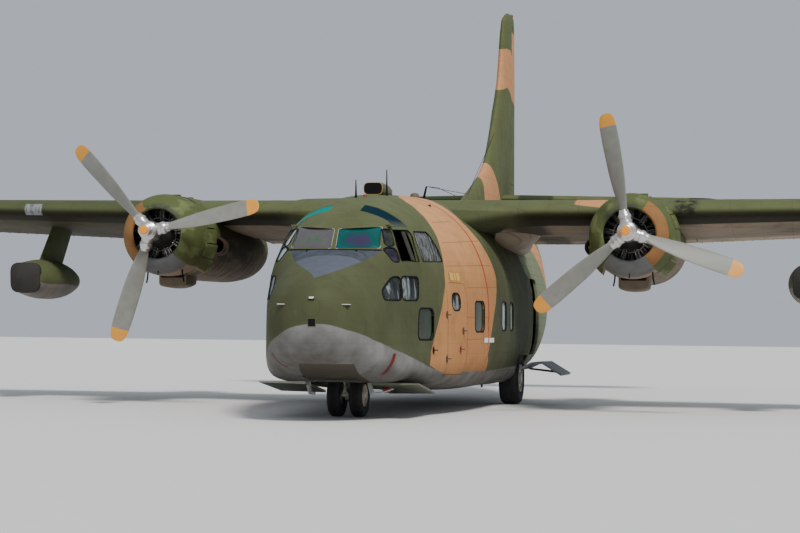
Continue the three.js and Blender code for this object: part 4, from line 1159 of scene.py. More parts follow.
def doorOutline(door, gap):
    corners = [(door["from"] + gap, door["low"] + gap), (door["to"] - gap, door["low"] + gap),
               (door["to"] - gap, door["high"] - gap), (door["from"] + gap, door["high"] - gap)]
    return roundedOutline(corners, [0, 0, door["curve"], door["curve"]], 10)


def makeHull():
    nose = hullShell("noseSkin", 0, 5.0, 0.05)
    across = [crossPrism(roundedOutline(outline, radius), side)
              for outline, radius, panePair, width in sideWindows.values() for side in (1, -1)]
    ahead, above = [], []
    for side, word in sides:
        ahead.append([[at(side * x, station, z) for x, z in windscreenOutline] for station in (1.45, 2.42)])
        above.append([[onTop(side)(point, lift) for point in roofOutline] for lift in (-0.15, 0.15)])
    doorway = [crossPrism(doorOutline(crewDoorway, 0), 1, 1.2)]
    well = [cutterBox(-0.58, 0.58, 2.32, 3.88, 0.3, 1.0), cutterBox(-0.492, 0.492, 1.208, 2.31, 0.3, 1.1)]
    cutBy(nose, well + [cutterPrisms(prisms) for prisms in (across, ahead, above, doorway)])
    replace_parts(nose, "fuselage_nose")
    centre = hullShell("centreSkin", 5.001, 13.3, 0.06)
    prisms = [crossPrism(boxOutline(*box, 0.12), side, 1.5)
              for box, panePair in wallWindows.values() for side in (1, -1)]
    prisms += [crossPrism(doorOutline(sideDoorway, 0), side, 1.3) for side in (1, -1)]
    wells = [cutterBox(side * 1.42, side * 2.4, 10.08, 11.46, 0.2, 1.06) for side in (1, -1)]
    cutBy(centre, wells + [cutterPrisms(prisms)])
    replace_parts(centre, "fuselage_centre")
    aft = hullShell("aftSkin", 13.301, 20.6, 0.06)
    cutBy(aft, [rampCutter(0)])
    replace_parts(aft, "fuselage_aft")
    cone = loftPiece("tailConeSkin", [hullRing(s) for s in stationsBetween(20.601, 23.12, 0.1)], "hull")
    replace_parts(cone, "tail_cone")
    for name, start, end, body in (("rampSkin", 14.912, 17.7, "cargo_ramp"),
                                   ("cargoDoorSkin", 17.77, 20.588, "cargo_door")):
        panel = hullShell(name, start, end, 0.06, body)
        cutBy(panel, [rampCutter(0.012)], "INTERSECT")
        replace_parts(panel, body)
    crewDoor = hullShell("crewDoorSkin", 3.7, 4.9, 0.05, "crew_door")
    cutBy(crewDoor, [cutterPrisms([crossPrism(doorOutline(crewDoorway, 0.008), 1, 1.2)])], "INTERSECT")
    cutBy(crewDoor, [cutterPrisms([crossPrism(doorWindow, 1, 1.2)])])
    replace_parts(crewDoor, "crew_door")


def makeWindows():
    for number, (side, word) in enumerate(sides):
        flank = onSide(side)
        for name, (corners, radius, panePair, width) in sideWindows.items():
            outline = roundedOutline(corners, radius)
            if panePair[number]:
                glass = hullPane(name + "Pane_" + word, outline, flank, panePair[number], lift=-0.02)
                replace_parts(glass, "cockpit_glazing")
            hullRim(name + "Rim_" + word, outline, flank, width, 0.009, "black")
        for name, (box, panePair) in wallWindows.items():
            outline = boxOutline(*box, 0.12)
            hullPane(name + "WallPane_" + word, outline, flank, panePair[number], lift=-0.025)
            hullRim(name + "WallRim_" + word, outline, flank, 0.03, 0.008, "black")
        outline = [Vector((side * x, z)) for x, z in windscreenOutline]
        paint = windscreenPanes[number]
        glass = hullPane("windscreen_" + word, outline, onFront, paint, "airframe", -0.012, 8)
        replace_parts(glass, "cockpit_glazing")
        hullRim("windscreenFrame_" + word, outline, onFront, 0.009, 0.003, "cream", depth=0.012)
        roof = hullPane("roofPane_" + word, roofOutline, onTop(side), roofPanes[number], lift=-0.012)
        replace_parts(roof, "cockpit_glazing")
    hullPane("crewDoorPane", doorWindow, onSide(1), "highlightStreakPane", "crew_door", -0.02)
    hullRim("crewDoorRim", doorWindow, onSide(1), 0.022, 0.008, "black", "crew_door")
    # Sliding frame of the open port window
    strip = roundedOutline([(2.76, 3.34), (2.86, 3.34), (2.72, 2.81), (2.62, 2.81)], 0.01)
    frames = [[onSide(1)(point, lift) for point in strip] for lift in (-0.055, -0.03)]
    loftPiece("slidingWindowFrame", frames, "slider")


def makeNoseDetails():
    seam = [onFront((-0.84 + 1.67 * k / 40, 2.962), 0.004) for k in range(41)]
    shapePiece("windscreenSeam", tubeShape(seam, 0.011, 10), "black")
    studs = [blockShape(onFront((x, 2.945), 0.01), (0.03, 0.03, 0.03)) for x in (-0.47, 0.42)]
    shapePiece("seamStuds", joined(studs), "black")
    vent = boxOutline(0.005, 0.125, 1.62, 1.745, 0.004)
    hullPane("noseVent", vent, onFront, "black", lift=0.004)
    hullRim("noseVentRim", vent, onFront, 0.008, 0.008, "olive")
    # White lamp, with a flat black block just below it as its painted shadow
    lamp = onFront((0.05, 2.095), 0)
    shapePiece("noseLamp", blockShape(lamp, (0.085, 0.08, 0.036), chamfer=0.9), "white")
    lampShadow = blockShape(lamp - Vector((0, -0.004, 0.024)), (0.1, 0.08, 0.014), chamfer=0.9)
    shapePiece("noseLampShadow", lampShadow, "black")
    # Vanes painted white, standing in for their lit tops as painted highlight
    vanes = [blockShape(onFront(spot, 0.02), (0.13, 0.12, 0.012)) for spot in ((-0.5, 1.985), (0.59, 1.99))]
    shapePiece("noseVanes", joined(vanes), "white")
    for side, word in sides:
        base = at(side * 0.85, 2.42, 3.415)
        shapePiece("gutter_" + word, blockShape(base, (0.1, 0.17, 0.035), (side * 0.75, -0.65, 0.0)), "olive")


# Small round fittings by the crew door: station, height, paint, body
sideFittings = [(3.75, 1.86, "well", "airframe"), (3.78, 1.06, "well", "airframe"),
                (4.56, 1.57, "well", "crew_door"), (3.15, 1.22, "black", "airframe"),
                (4.43, 1.23, "red", "crew_door")]
fittingProfile = [(0.035, -0.01), (0.035, 0.012), (0.02, 0.02), (0.004, 0.022)]


def makeSideFittings():
    for number, (s, z, paint, body) in enumerate(sideFittings):
        spot = at(hullWidth(s, z), s, z)
        shapes = [turnedShape(fittingProfile, spot, (1, 0, 0), 24)]
        for turn in (0.4, 1.45, 2.5):
            reach = Vector((0, math.cos(turn), math.sin(turn)))
            shapes.append(blockShape(spot + Vector((0.006, 0, 0)), (0.014, 0.15, 0.014), reach, (1, 0, 0)))
        shapes.append(blockShape(spot + Vector((0.03, 0, 0)), (0.022, 0.1, 0.018), (1, 0, 0)))
        shapePiece("wallFitting%d" % (number + 1), joined(shapes), paint, body)
    hullPane("ribbonPlate", boxOutline(4.03, 4.58, 2.5, 2.64, 0.01), onSide(1), "ribbon", lift=0.006)
    for name, start, end in (("blankPlate1", 5.86, 6.17), ("blankPlate2", 6.25, 6.66)):
        hullPane(name, boxOutline(start, end, 1.35, 1.44, 0.01), onSide(1), "white", lift=0.006)


def rampCutter(gap):
    rings = []
    for station, half in ((14.9 + gap, 1.18), (16.5, 1.18), (18.6, 0.96), (20.61, 0.56)):
        row = smoothRow(hullRows, station)
        low, high = row[3] - 0.4, row[3] + (row[1] - row[3]) * 0.62
        half -= gap
        rings.append([at(x, station, z) for x, z in ((-half, low), (half, low), (half, high), (-half, high))])
    return cutterMesh(*loftShape(rings))


# Fairing between hull and wing: station, height on the hull, reach under the wing, bulge
fairingRows = [
    (8.92, 3.6, 1.72, 0.01), (9.0, 3.55, 1.9, 0.05), (9.15, 3.45, 2.2, 0.1), (9.4, 3.38, 2.42, 0.12),
    (9.85, 3.335, 2.55, 0.12), (10.3, 3.31, 2.45, 0.12), (10.52, 3.3, 2.15, 0.11), (11.0, 3.28, 2.15, 0.1),
    (11.75, 3.26, 2.13, 0.08), (12.1, 3.27, 2.08, 0.05), (12.35, 3.36, 2.02, 0.01)]


def makeRootFairing(side, word):
    rings = []
    front, rear = [8.92, 8.94, 8.97, 9.0, 9.05, 9.1, 9.15], [12.26, 12.31, 12.35]
    for station in front + stationsBetween(9.2, 12.2, 0.1) + rear:
        low, reach, bulge = smoothRow(fairingRows, station)
        aft = (station - wingLead) / wingChord
        under = wingHeight + smoothRow(wingFoil, min(max(aft, 0), 1))[1] * wingChord
        start = Vector((hullWidth(station, low) - 0.01, low))
        end = Vector((reach, under + 0.01))
        start.x, end.x = min(start.x, reach - 0.05), reach
        middle = (start + end) / 2 + Vector((0.6, -0.8)) * bulge * 2
        middle.x = min(middle.x, reach + (0.2 if station < 10.4 else 0))
        ring = [bend(start, middle, end, k / 14) for k in range(15)]
        ring += [(reach - 0.1, under + 0.06), (start.x - 0.1, under + 0.06), (start.x - 0.1, low + 0.02)]
        rings.append([at(side * x, station, z) for x, z in ring])
    loftPiece("rootFairing_" + word, rings, "fairing", angle=40)


# Green fillet where the leading edge runs into the hull
filletSizes = {"inner": 1.05, "outer": 2.9, "sweep": 1.05, "drop": 0.44}


def makeRootFillet(side, word):
    rings = []
    for k in range(15):
        x = filletSizes["inner"] + (filletSizes["outer"] - filletSizes["inner"]) * k / 14
        grow = (1 - k / 14) ** 2
        cuts = [0.34, 0.28, 0.22, 0.16, 0.11, 0.07, 0.04, 0.02, 0.008, 0.002]
        points = [(aft, smoothRow(wingFoil, aft)[0], 1 - aft / 0.34) for aft in cuts] + [(0, 0, 1)]
        points += [(aft, smoothRow(wingFoil, aft)[1], 1 - aft / 0.34) for aft in reversed(cuts)]
        ring = []
        for number, (aft, height, part) in enumerate(points):
            low = number / (len(points) - 1)
            station = wingLead + aft * wingChord - filletSizes["sweep"] * grow * part ** 1.6 - 0.004
            drop = filletSizes["drop"] * grow * part ** 0.7 * (0.25 + low)
            ring.append(at(side * x, station, wingHeight + height * wingChord * 1.012 - drop))
        rings.append(ring)
    loftPiece("rootFillet_" + word, rings, "wing", angle=50)


# Grey bulge of the lower hull ahead of each main wheel: its growth by station and its reach by height
bulgeRows = [(8.3, 0.0), (8.8, 0.12), (9.3, 0.45), (9.7, 0.8), (9.95, 0.97), (10.06, 1.0)]
bulgeReach = [
    (1.2, 0.0), (1.05, 0.012), (0.92, 0.03), (0.8, 0.075), (0.68, 0.15), (0.58, 0.215), (0.5, 0.25),
    (0.455, 0.2)]


def makeGearBulge(side, word):
    rings = []
    for station in stationsBetween(8.3, 10.06, 0.11):
        grow = straightRow(bulgeRows, station)[0]
        ring = [(hullWidth(station, z) - 0.012 + reach * grow, z) for z, reach in bulgeReach]
        ring += [(1.3, 0.44), (1.25, 0.8), (1.4, 1.15)]
        rings.append([at(side * x, station, z) for x, z in ring])
    loftPiece("gearBulge_" + word, rings, "hull", angle=50)


def makeRoof():
    outer = boxOutline(-0.155, 0.215, 4.13, 4.365, 0.1)
    inner = boxOutline(-0.146, 0.206, 4.14, 4.356, 0.095)
    rings = []
    for station, grow in ((4.78, 1.0), (4.85, 1.04), (5.1, 1.05), (5.5, 1.0), (5.8, 0.85), (6.0, 0.6)):
        rings.append([at(0.025 + (x - 0.025) * grow, station, 4.16 + (z - 4.16) * grow) for x, z in outer])
    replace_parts(loftPiece("roofScoopShell", rings, "olive"), "roof_scoop")
    steps = ((inner, 4.775), (inner, 4.755), (outer, 4.755), (outer, 4.785), (inner, 4.775))
    rim = [[at(x, station, z) for x, z in outline] for outline, station in steps]
    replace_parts(loftPiece("roofScoopRim", rim, "brass", capStart=False, capEnd=False), "roof_scoop")
    # Black plug in the scoop's mouth: painted shade inside the duct
    mouth = [[at(x, s, z) for x, z in inner] for s in (4.768, 4.79)]
    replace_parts(loftPiece("roofScoopMouth", mouth, "black"), "roof_scoop")
    whips = []
    for x, s, low, high in ((-0.04, 3.63, 3.97, 4.33), (0.30, 4.75, 4.05, 4.60)):
        stalk = [at(x, s, low), at(x, s, low + 0.09), at(x - 0.01, s + 0.02, high)]
        whips.append(tubeShape(stalk, [0.03, 0.018, 0.009], 10))
        whips.append(blockShape(at(x, s, low + 0.005), (0.2, 0.2, 0.02)))
    mast = [at(-0.04, 10.1, 4.28), at(-0.02, 10.1, 4.45), at(0.03, 10.1, 4.68)]
    mastTop = at(0.03, 10.1, 4.675)
    whips.append(tubeShape(mast, [0.035, 0.028, 0.018], 10))
    whips.append(tubeShape([mastTop, at(0.25, 10.25, 4.66), at(0.6, 10.5, 4.5)], 0.006, 6))
    shapePiece("roofAntennas", joined(whips), "black")
    shapePiece("roofWire", tubeShape([mastTop, at(0.1, 15.0, 4.85), at(0.05, 19.6, 6.9)], 0.006, 6), "black")
    beacon = [(0.035, 0), (0.035, 0.03), (0.025, 0.05), (0.004, 0.058)]
    turnedPiece("redBeacon", beacon, at(0.08, 3.86, 4.02), (0, 0, 1), "red", steps=20)
    dome = [
        (0.09, 0.0), (0.095, 0.05), (0.1, 0.09), (0.095, 0.13), (0.08, 0.16), (0.05, 0.178), (0.004, 0.185)]
    turnedPiece("roofDome", dome, at(0.01, 8.9, 4.27), (0, 0, 1), "brownBox", steps=40)
    stud = [(0.03, -0.02), (0.03, 0.03), (0.02, 0.045), (0.003, 0.05)]
    turnedPiece("roofStud", stud, at(0.95, 5.63, 3.95), (0.3, 0, 1), "black", steps=20)


# Arms and links of the nose gear doors, the leg's torque links and lamp
def makeNoseGear():
    arms = [([(-0.62, 2.55, 0.74), (-0.6, 2.5, 0.56), (-0.55, 2.45, 0.44)], 0.045),
            ([(-0.56, 2.45, 0.44), (-0.48, 2.5, 0.43)], 0.03),
            ([(0.5, 2.55, 0.75), (0.52, 2.5, 0.58), (0.57, 2.45, 0.44)], 0.045),
            ([(0.56, 2.45, 0.44), (0.7, 2.5, 0.455)], 0.02),
            ([(0.7, 2.5, 0.455), (0.92, 2.6, 0.53)], 0.014)]
    tubes = [tubeShape([at(*point) for point in points], thick, 12) for points, thick in arms]
    shapePiece("doorArms", joined(tubes), "gear")
    actuator = [
        (0.02, -0.07), (0.055, -0.06), (0.06, -0.01), (0.05, 0.0), (0.06, 0.01), (0.055, 0.06), (0.02, 0.07)]
    turnedPiece("doorActuator", actuator, at(0.8, 2.62, 0.515), (1, 0.1, 0), "red", steps=28)
    lamp = [(0.02, -0.07), (0.04, -0.065), (0.045, 0.0), (0.04, 0.065), (0.02, 0.07)]
    knee = at(-0.02, 2.83, 0.5)
    links = [tubeShape([at(0, 2.98, 0.8), at(-0.02, 2.86, 0.62), knee], [0.04, 0.035, 0.03], 12),
             tubeShape([knee, at(-0.05, 2.84, 0.42)], 0.022, 10),
             tubeShape([knee, at(0.03, 2.84, 0.42)], 0.022, 10),
             turnedShape(lamp, at(-0.01, 2.85, 0.4), (1, 0, 0), 20)]
    shapePiece("noseLinks", joined(links), "legCream", "nose_steering")


# Wheels: profiles of the hubs, centres, and rods of the doors
mainRim = [
    (0.3, 0.17), (0.292, 0.2), (0.27, 0.205), (0.25, 0.19), (0.235, 0.12), (0.15, 0.1), (0.13, 0.13),
    (0.12, 0.2), (0.09, 0.215), (0.04, 0.22), (0.004, 0.22)]
noseRim = [
    (0.205, 0.07), (0.2, 0.1), (0.185, 0.11), (0.17, 0.1), (0.16, 0.06), (0.09, 0.05), (0.08, 0.09),
    (0.06, 0.115), (0.02, 0.12), (0.003, 0.12)]
mainWheel, noseWheel = (1.83, 10.77, 0.56), (0.205, 3.05, 0.392)
mainRods = (([(2.2, 10.72, 0.78), (2.7, 10.74, 0.73), (2.92, 10.77, 0.66)], 0.016, 8),
            ([(2.2, 10.9, 0.76), (2.75, 10.92, 0.70)], 0.014, 8),
            ([(1.35, 9.7, 0.56), (1.35, 9.7, 0.38)], 0.022, 10))


def wheelCentre(side, wheel):
    return at(side * wheel[0], *wheel[1:])


def makeMainGear():
    rods = []
    for side, word in sides:
        for points, thick, steps in mainRods:
            rods.append(tubeShape([at(side * x, station, z) for x, station, z in points], thick, steps))
        for name, rim, wheel, body, steps in (("mainRim_", mainRim, mainWheel, "main_wheel_" + word, 64),
                                              ("noseRim_", noseRim, noseWheel, "nose_wheels", 56)):
            turnedPiece(name + word, rim, wheelCentre(side, wheel), (side, 0, 0), "legCream", body, steps)
    shapePiece("mainDoorRods", joined(rods), "well")


# Nacelle sections: station, half width, top, bottom
nacelleRows = [
    (7.33, 0.835, 4.30, 2.60), (9.0, 0.835, 4.31, 2.58), (10.8, 0.815, 4.18, 2.59), (11.8, 0.75, 4.05, 2.65),
    (12.5, 0.59, 3.90, 2.80), (12.9, 0.37, 3.69, 3.02), (13.05, 0.11, 3.45, 3.27)]


def makeNacelle(side, word):
    rings = []
    tail = [12.5, 12.6, 12.7, 12.8, 12.88, 12.94, 12.99, 13.03, 13.05]
    for station in stationsBetween(7.33, 12.4, 0.15) + tail:
        half, top, bottom = smoothRow(nacelleRows, station)
        middle = (top + bottom) / 2
        high = top - middle
        rings.append([at(side * engineX + half * math.cos(turn), station, middle + high * math.sin(turn))
                      for turn in turnsOf(64)])
    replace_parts(loftPiece("nacelleSkin_" + word, rings, "nacelle"), "nacelle_" + word)
    profile = [
        (0.525, 0.06), (0.505, 0.03), (0.5, 0.0), (0.505, -0.022), (0.53, -0.045), (0.568, -0.042),
        (0.61, -0.022), (0.655, 0.012), (0.7, 0.058), (0.74, 0.115), (0.775, 0.19), (0.803, 0.28),
        (0.822, 0.38), (0.833, 0.48), (0.835, 0.56), (0.835, 0.8), (0.828, 0.95), (0.812, 1.08),
        (0.782, 1.08), (0.803, 0.78), (0.803, 0.5), (0.765, 0.27), (0.675, 0.13), (0.585, 0.07)]
    centre = at(side * engineX, 6.24, engineZ)
    cowl = turnedPiece("cowlSkin_" + word, profile, centre, (0, 1, 0), "cowl", steps=96, closed=True)
    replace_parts(cowl, "cowl_" + word)


# Cowl flaps stand slightly open on both sides, between these turns in degrees; the lower ones open further
def makeCowlFlaps(side, word):
    shapes = []
    for start, end in ((-52, 52), (128, 232)):
        for number in range(5):
            first = start + (end - start) * number / 5 + 0.8
            last = start + (end - start) * (number + 1) / 5 - 0.8
            low = max(0, -math.sin(math.radians((first + last) / 2))) / 0.7
            turns = [math.radians(first + (last - first) * k / 6) for k in range(7)]
            rings = []
            for station, radius in ((6.97, 0.838), (7.05, 0.846), (7.2, 0.866), (7.34, 0.886), (7.43, 0.9)):
                spread = radius + (radius - 0.838) * low * 1.2 + (0.006 if number % 2 else 0)
                corners = [(spread, t) for t in turns] + [(spread - 0.01, t) for t in reversed(turns)]
                rings.append([at(side * (engineX + r * math.cos(t)), station, engineZ + r * math.sin(t))
                              for r, t in corners])
            shapes.append(loftShape(rings))
    flaps = shapePiece("cowlFlaps_" + word, joined(shapes), "cowl")
    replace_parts(flaps, "cowl_" + word)


def spoke(turn):
    return Vector((math.cos(turn), 0, math.sin(turn))), Vector((-math.sin(turn), 0, math.cos(turn)))


engineSizes = {"cylinders": 9, "barrel": 0.088, "fins": 11, "from": 0.26, "to": 0.56}


# Two rows of finned cylinders round a crankcase, push rods and the ignition ring in front
def makeEngine(side, word):
    centre = at(side * engineX, 0, engineZ)
    node = "engine_" + word
    case = [
        (0.31, 7.0), (0.31, 6.55), (0.27, 6.5), (0.235, 6.44), (0.225, 6.36), (0.19, 6.3), (0.17, 6.18),
        (0.15, 6.08), (0.1, 6.03)]
    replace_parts(turnedPiece("crankcase_" + word, case, centre, (0, 1, 0), "castings", steps=48), node)
    plate = [(0.3, 7.0), (0.77, 7.0), (0.77, 7.02), (0.3, 7.02)]
    baffle = turnedPiece("baffle_" + word, plate, centre, (0, 1, 0), "black", steps=48, closed=True)
    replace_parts(baffle, node)
    step = (engineSizes["to"] - engineSizes["from"]) / engineSizes["fins"]
    barrel = []
    for fin in range(engineSizes["fins"]):
        start = engineSizes["from"] + step * fin
        wide = engineSizes["barrel"] + (0.016 if fin > 5 else 0)
        barrel += [(wide - 0.022, start), (wide - 0.022, start + step * 0.45), (wide, start + step * 0.5),
                   (wide, start + step * 0.95)]
    barrels, heads, rods = [], [], []
    for row, station in enumerate((6.66, 6.86)):
        base = centre + Vector((0, station, 0))
        for k in range(engineSizes["cylinders"]):
            outward, across = spoke(2 * math.pi * (k + 0.5 * row) / engineSizes["cylinders"] + math.pi / 2)
            barrels.append(turnedShape(barrel, base, outward, 20))
            heads.append(blockShape(base + outward * 0.585, (0.13, 0.19, 0.06), (0, 1, 0), outward, 0.4))
            for offset in (-0.045, 0.045):
                start = base + outward * 0.24 + across * offset * 0.5 + Vector((0, -0.13, 0))
                end = base + outward * 0.56 + across * offset + Vector((0, -0.085, 0))
                rods.append(tubeShape([start, end], 0.011, 8))
    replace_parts(shapePiece("cylinders_" + word, joined(barrels), "castings"), node)
    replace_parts(shapePiece("cylinderHeads_" + word, joined(heads), "castings"), node)
    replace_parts(shapePiece("pushRods_" + word, joined(rods), "alloy"), node)
    ring = [(0.335 + 0.014 * math.cos(turn), 6.47 + 0.014 * math.sin(turn)) for turn in turnsOf(10)]
    leads = [turnedShape(ring, centre, (0, 1, 0), 60, True)]
    for k in range(18):
        outward, across = spoke(2 * math.pi * (k + 0.25) / 18)
        places = [centre + outward * reach + Vector((0, station, 0))
                  for reach, station in ((0.33, 6.47), (0.42, 6.46), (0.5, 6.53))]
        leads.append(tubeShape(places, 0.007, 6))
    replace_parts(shapePiece("ignitionRing_" + word, joined(leads), "leads"), node)


# Cooler scoop: station, lowest point and half width
scoopRows = [
    (7.3, 2.42, 0.29), (7.34, 2.39, 0.305), (7.75, 2.38, 0.305), (8.05, 2.42, 0.28), (8.25, 2.56, 0.2)]


# Cooler scoop and drain pipes under each engine, exhaust outlet on its inner side
def makeEngineFittings(side, word):
    x = side * engineX
    rings = []
    for station, low, wide in scoopRows:
        corners = [(x - wide, 2.68), (x + wide, 2.68), (x + wide, low + 0.05), (x + wide * 0.5, low + 0.008),
                   (x, low), (x - wide * 0.5, low + 0.008), (x - wide, low + 0.05)]
        outline = roundedOutline(corners, [0.01, 0.01, 0.06, 0.1, 0.1, 0.1, 0.06])
        rings.append([at(px, station, z) for px, z in outline])
    loftPiece("coolerScoop_" + word, rings, "brownBox")
    # Black plug in the scoop's mouth: painted shade inside the duct
    mouth = roundedOutline([(x - 0.26, 2.655), (x + 0.26, 2.655), (x + 0.24, 2.6), (x - 0.24, 2.6)], 0.02)
    loftPiece("coolerMouth_" + word, [[at(px, s, z) for px, z in mouth] for s in (7.285, 7.32)], "black")
    pipes = []
    for points, thick, steps in (([(-0.3, 6.62, 2.72), (-0.31, 6.63, 2.6), (-0.335, 6.64, 2.47)], 0.016, 10),
                                 ([(0.42, 6.62, 2.78), (0.43, 6.63, 2.62), (0.46, 6.64, 2.5)], 0.016, 10),
                                 ([(0, 6.36, 2.78), (0, 6.37, 2.7), (-0.01, 6.38, 2.62)], 0.01, 8)):
        pipes.append(tubeShape([at(x + px, station, z) for px, station, z in points], thick, steps))
    shapePiece("drainPipes_" + word, joined(pipes), "black")
    outlet = [
        (0.13, 0.6), (0.14, 0.03), (0.145, 0.0), (0.165, -0.01), (0.18, 0.01), (0.188, 0.06), (0.188, 0.4),
        (0.15, 0.6)]
    centre, axis = at(side * (engineX - 0.84), 7.62, 3.27), (side * 0.12, 1, 0)
    turnedPiece("exhaustOutlet_" + word, outlet, centre, axis, "exhaust", steps=40, closed=True)
    # Black disc inside the outlet: painted shade of the pipe's depth
    turnedPiece("exhaustDepth_" + word, [(0.005, 0.2), (0.138, 0.2)], centre, axis, "black", steps=32)
    for name, station in (("nacelleVent1_", 7.55), ("nacelleVent2_", 8.4)):
        shapePiece(name + word, blockShape(at(x + side * 0.1, station, 4.31), (0.3, 0.16, 0.05)), "cowl")


# Square covers over the inlets of the jet pods
def makePodCover(side, word):
    x = side * podX
    outline = roundedOutline([(x - 0.33, 2.9), (x + 0.33, 2.9), (x + 0.31, 2.28), (x - 0.31, 2.28)], 0.2)
    loftPiece("podCover_" + word, [[at(px, s, z) for px, z in outline] for s in (7.67, 7.73)], "podCover")
    band = [[at(x + (px - x) * grow, s, 2.59 + (z - 2.59) * grow) for px, z in outline]
            for grow, s in ((1.0, 7.665), (1.035, 7.68), (1.04, 7.76), (1.0, 7.775))]
    loftPiece("podCoverHem_" + word, band, "podCover", angle=60)


def makePod(side, word):
    profile = [
        (0.01, 0.06), (0.285, 0.06), (0.3, 0.03), (0.31, 0.01), (0.32, 0.0), (0.332, 0.004), (0.345, 0.03),
        (0.36, 0.12), (0.383, 0.3), (0.404, 0.5), (0.419, 0.7), (0.425, 0.88), (0.425, 1.35), (0.415, 1.55),
        (0.395, 1.78), (0.365, 2.0), (0.325, 2.22), (0.27, 2.45), (0.235, 2.58), (0.215, 2.65), (0.2, 2.65),
        (0.19, 2.4), (0.01, 2.38)]
    pod = turnedPiece("podSkin_" + word, profile, at(side * podX, 7.7, podZ), (0, 1, 0), "pod", steps=72)
    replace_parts(pod, "pod_" + word)
    rings = []
    for step in range(9):
        part = step / 8
        lead, trail, half = 8.35 + 0.84 * part, 9.75 + 0.64 * part, 0.07 + 0.02 * part
        z = 2.86 + 0.88 * part
        outline = []
        for turn in turnsOf(40):
            along = (1 - math.cos(turn)) / 2
            across = half * math.sin(turn) * (1 - 0.35 * along)
            outline.append(at(side * podX + across, lead + (trail - lead) * along, z))
        rings.append(outline)
    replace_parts(loftPiece("pylonSkin_" + word, rings, "pod"), "pylon_" + word)


bladeAngles = {"port": (101, 221, 341), "starboard": (133, 253, 13)}
# Blade sections: distance from the hub, chord, thickness, twist in degrees
bladeRows = [
    (0.1, 0.16, 0.16, 62), (0.3, 0.17, 0.15, 56), (0.5, 0.25, 0.095, 48), (0.8, 0.33, 0.068, 41),
    (1.2, 0.385, 0.05, 34), (1.7, 0.385, 0.036, 27), (2.1, 0.35, 0.025, 22), (2.24, 0.27, 0.019, 20.5),
    (2.285, 0.17, 0.014, 20), (2.3, 0.05, 0.008, 20)]
bladeSteps = [
    0.1, 0.2, 0.3, 0.4, 0.5, 0.65, 0.8, 1.0, 1.2, 1.45, 1.7, 1.9, 2.1, 2.18, 2.24, 2.27, 2.285, 2.295, 2.3]
bladeSocket = [
    (0.11, 0.1), (0.125, 0.12), (0.125, 0.2), (0.118, 0.215), (0.118, 0.25), (0.128, 0.262), (0.128, 0.31),
    (0.11, 0.34), (0.1, 0.36), (0.095, 0.4), (0.088, 0.42)]
hubPieces = (
    ("hubBarrel", [(0.1, 0.14), (0.17, 0.12), (0.2, 0.06), (0.205, 0.0), (0.2, -0.08), (0.185, -0.16),
                   (0.15, -0.19), (0.13, -0.2)], "steel"),
    ("hubDome", [(0.13, -0.19), (0.15, -0.2), (0.152, -0.235), (0.135, -0.245), (0.135, -0.29),
                 (0.143, -0.297), (0.143, -0.32), (0.13, -0.33), (0.127, -0.375), (0.11, -0.395),
                 (0.095, -0.4)], "steel"),
    ("hubCap", [(0.1, -0.38), (0.094, -0.402), (0.09, -0.418), (0.078, -0.431), (0.05, -0.438),
                (0.008, -0.44)], "orange"),
)


def makePropeller(side, word):
    hub = at(side * engineX, 5.83, propellerZ)
    prop = "propeller_" + word
    for number, angle in enumerate(bladeAngles[word]):
        outward, across = spoke(math.radians(angle))
        rings = []
        for out in bladeSteps:
            chord, thick, twist = smoothRow(bladeRows, out)
            lean = math.radians(twist)
            ring = []
            for turn in turnsOf(28):
                along = chord * 0.5 * math.cos(turn)
                depth = thick * 0.5 * math.sin(turn) * (1 + 0.25 * math.cos(turn))
                u = along * math.cos(lean) - depth * math.sin(lean)
                v = along * math.sin(lean) + depth * math.cos(lean)
                ring.append(hub + outward * out + across * u + Vector((0, v, 0)))
            rings.append(ring)
        blade = loftPiece("blade%d_%s" % (number + 1, word), rings, "blade", prop, angle=60)
        name = "bladeSocket%d_%s" % (number + 1, word)
        cuff = turnedPiece(name, bladeSocket, hub, outward, "steel", prop, 40)
        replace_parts(blade, prop)
        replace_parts(cuff, prop)
    for name, profile, paint in hubPieces:
        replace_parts(turnedPiece(name + "_" + word, profile, hub, (0, 1, 0), paint, prop, 56), prop)


# Side of a tyre: parts of its radius and of half its width
tyreSteps = ((0.74, 0.97), (0.83, 1), (0.9, 0.96), (0.945, 0.86), (0.975, 0.72), (0.992, 0.56))


def tyreProfile(radius, width, rim, grooves):
    half = width / 2
    side = [(rim, -half * 0.62), (rim + 0.012, -half * 0.78), (rim + 0.03, -half * 0.86)]
    side += [(radius * out, -half * wide) for out, wide in tyreSteps]
    tread = []
    deep = radius - 0.011
    for y in [groove * half for groove in grooves]:
        tread += [(radius, y - 0.009), (deep, y - 0.006), (deep, y + 0.006), (radius, y + 0.009)]
    return side + tread + [(r, -y) for r, y in reversed(side)]


def makeWheels():
    nose = tyreProfile(0.392, 0.24, 0.205, (-0.3, 0, 0.3))
    main = tyreProfile(0.56, 0.43, 0.3, (-0.42, -0.14, 0.14, 0.42))
    for side, word in sides:
        tyre = turnedPiece("noseTyreTread_" + word, nose, wheelCentre(side, noseWheel), (1, 0, 0), "rubber",
                           "nose_wheels", 96, True)
        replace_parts(tyre, "nose_tyre_" + word)
        tyre = turnedPiece("mainTyreTread_" + word, main, wheelCentre(side, mainWheel), (1, 0, 0), "rubber",
                           "main_wheel_" + word, 96, True)
        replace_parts(tyre, "main_tyre_" + word)


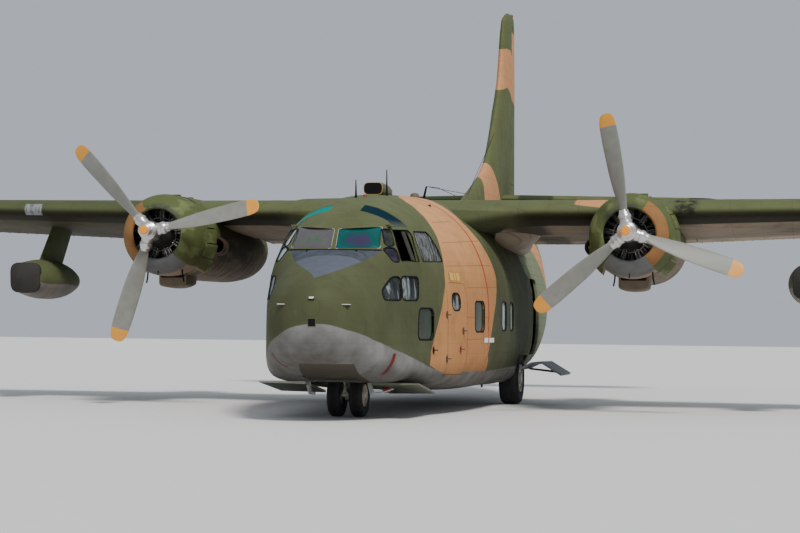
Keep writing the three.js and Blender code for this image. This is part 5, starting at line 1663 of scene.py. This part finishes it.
makeHull()
makeWindows()
makeNoseDetails()
makeSideFittings()
makeWings()
makeWingFittings()
makeFin()
makeTailplane()
for side, word in sides:
    for make in (makeNacelle, makeCowlFlaps, makeEngine, makeEngineFittings, makePod, makePodCover,
                 makePropeller, makeRootFairing, makeRootFillet, makeGearBulge):
        make(side, word)
makeRoof()
makeNoseGear()
makeMainGear()
makeWheels()
print("stage: main pieces")


# Paints of the CAD nodes, by their own name or else by their slot
def dressCad():
    slots = {"camouflage_skin": "hull", "belly_skin": "belly", "wing_skin": "wing", "control_fabric": "wing",
             "glazing": "glass", "floor_deck": "cabin", "cabin_trim": "cabin", "gear_metal": "gear",
             "tyre_rubber": "rubber", "door_paint": "door", "engine_block": "engine", "blade_metal": "rim"}
    own = {"rudder": "tail", "elevator_port": "tail", "elevator_starboard": "tail", "nose_leg": "legCream",
           "nose_fork": "legCream", "nose_door_port": "portDoor", "nose_door_starboard": "noseDoor",
           "nose_door_front": "noseDoor", "main_gear_door_port": "mainDoor",
           "main_gear_door_starboard": "mainDoor"}
    for entry in frame["record"]["subparts"]:
        node = bpy.data.objects.get(entry["node"])
        if node and node.type == "MESH":
            node.data.materials.clear()
            node.data.materials.append(paints[own.get(entry["node"], slots[entry["material_slot"]])])


dressCad()
print("stage: nodes dressed")


def makeStage():
    mesh = bpy.data.meshes.new("floor")
    mesh.from_pydata([(-150, -120, 0), (150, -120, 0), (150, 200, 0), (-150, 200, 0)], [], [(0, 1, 2, 3)])
    floor = bpy.data.objects.new("floor", mesh)
    bpy.context.collection.objects.link(floor)
    floor.data.materials.append(paints["floor"])
    world = bpy.data.worlds.new("studio")
    bpy.context.scene.world = world
    world.use_nodes = True
    sky = world.node_tree.nodes["Background"].inputs
    sky["Color"].default_value = (0.80, 0.86, 0.95, 1)
    sky["Strength"].default_value = 0.6
    sun = bpy.data.lights.new("keyLight", "SUN")
    sun.energy = 3.3
    sun.angle = math.radians(12)
    sun.color = (1.0, 0.97, 0.92)
    key = bpy.data.objects.new("keyLight", sun)
    key.rotation_euler = (math.radians(38), math.radians(14), math.radians(18))
    bpy.context.collection.objects.link(key)


makeStage()
print("stage: floor and light")
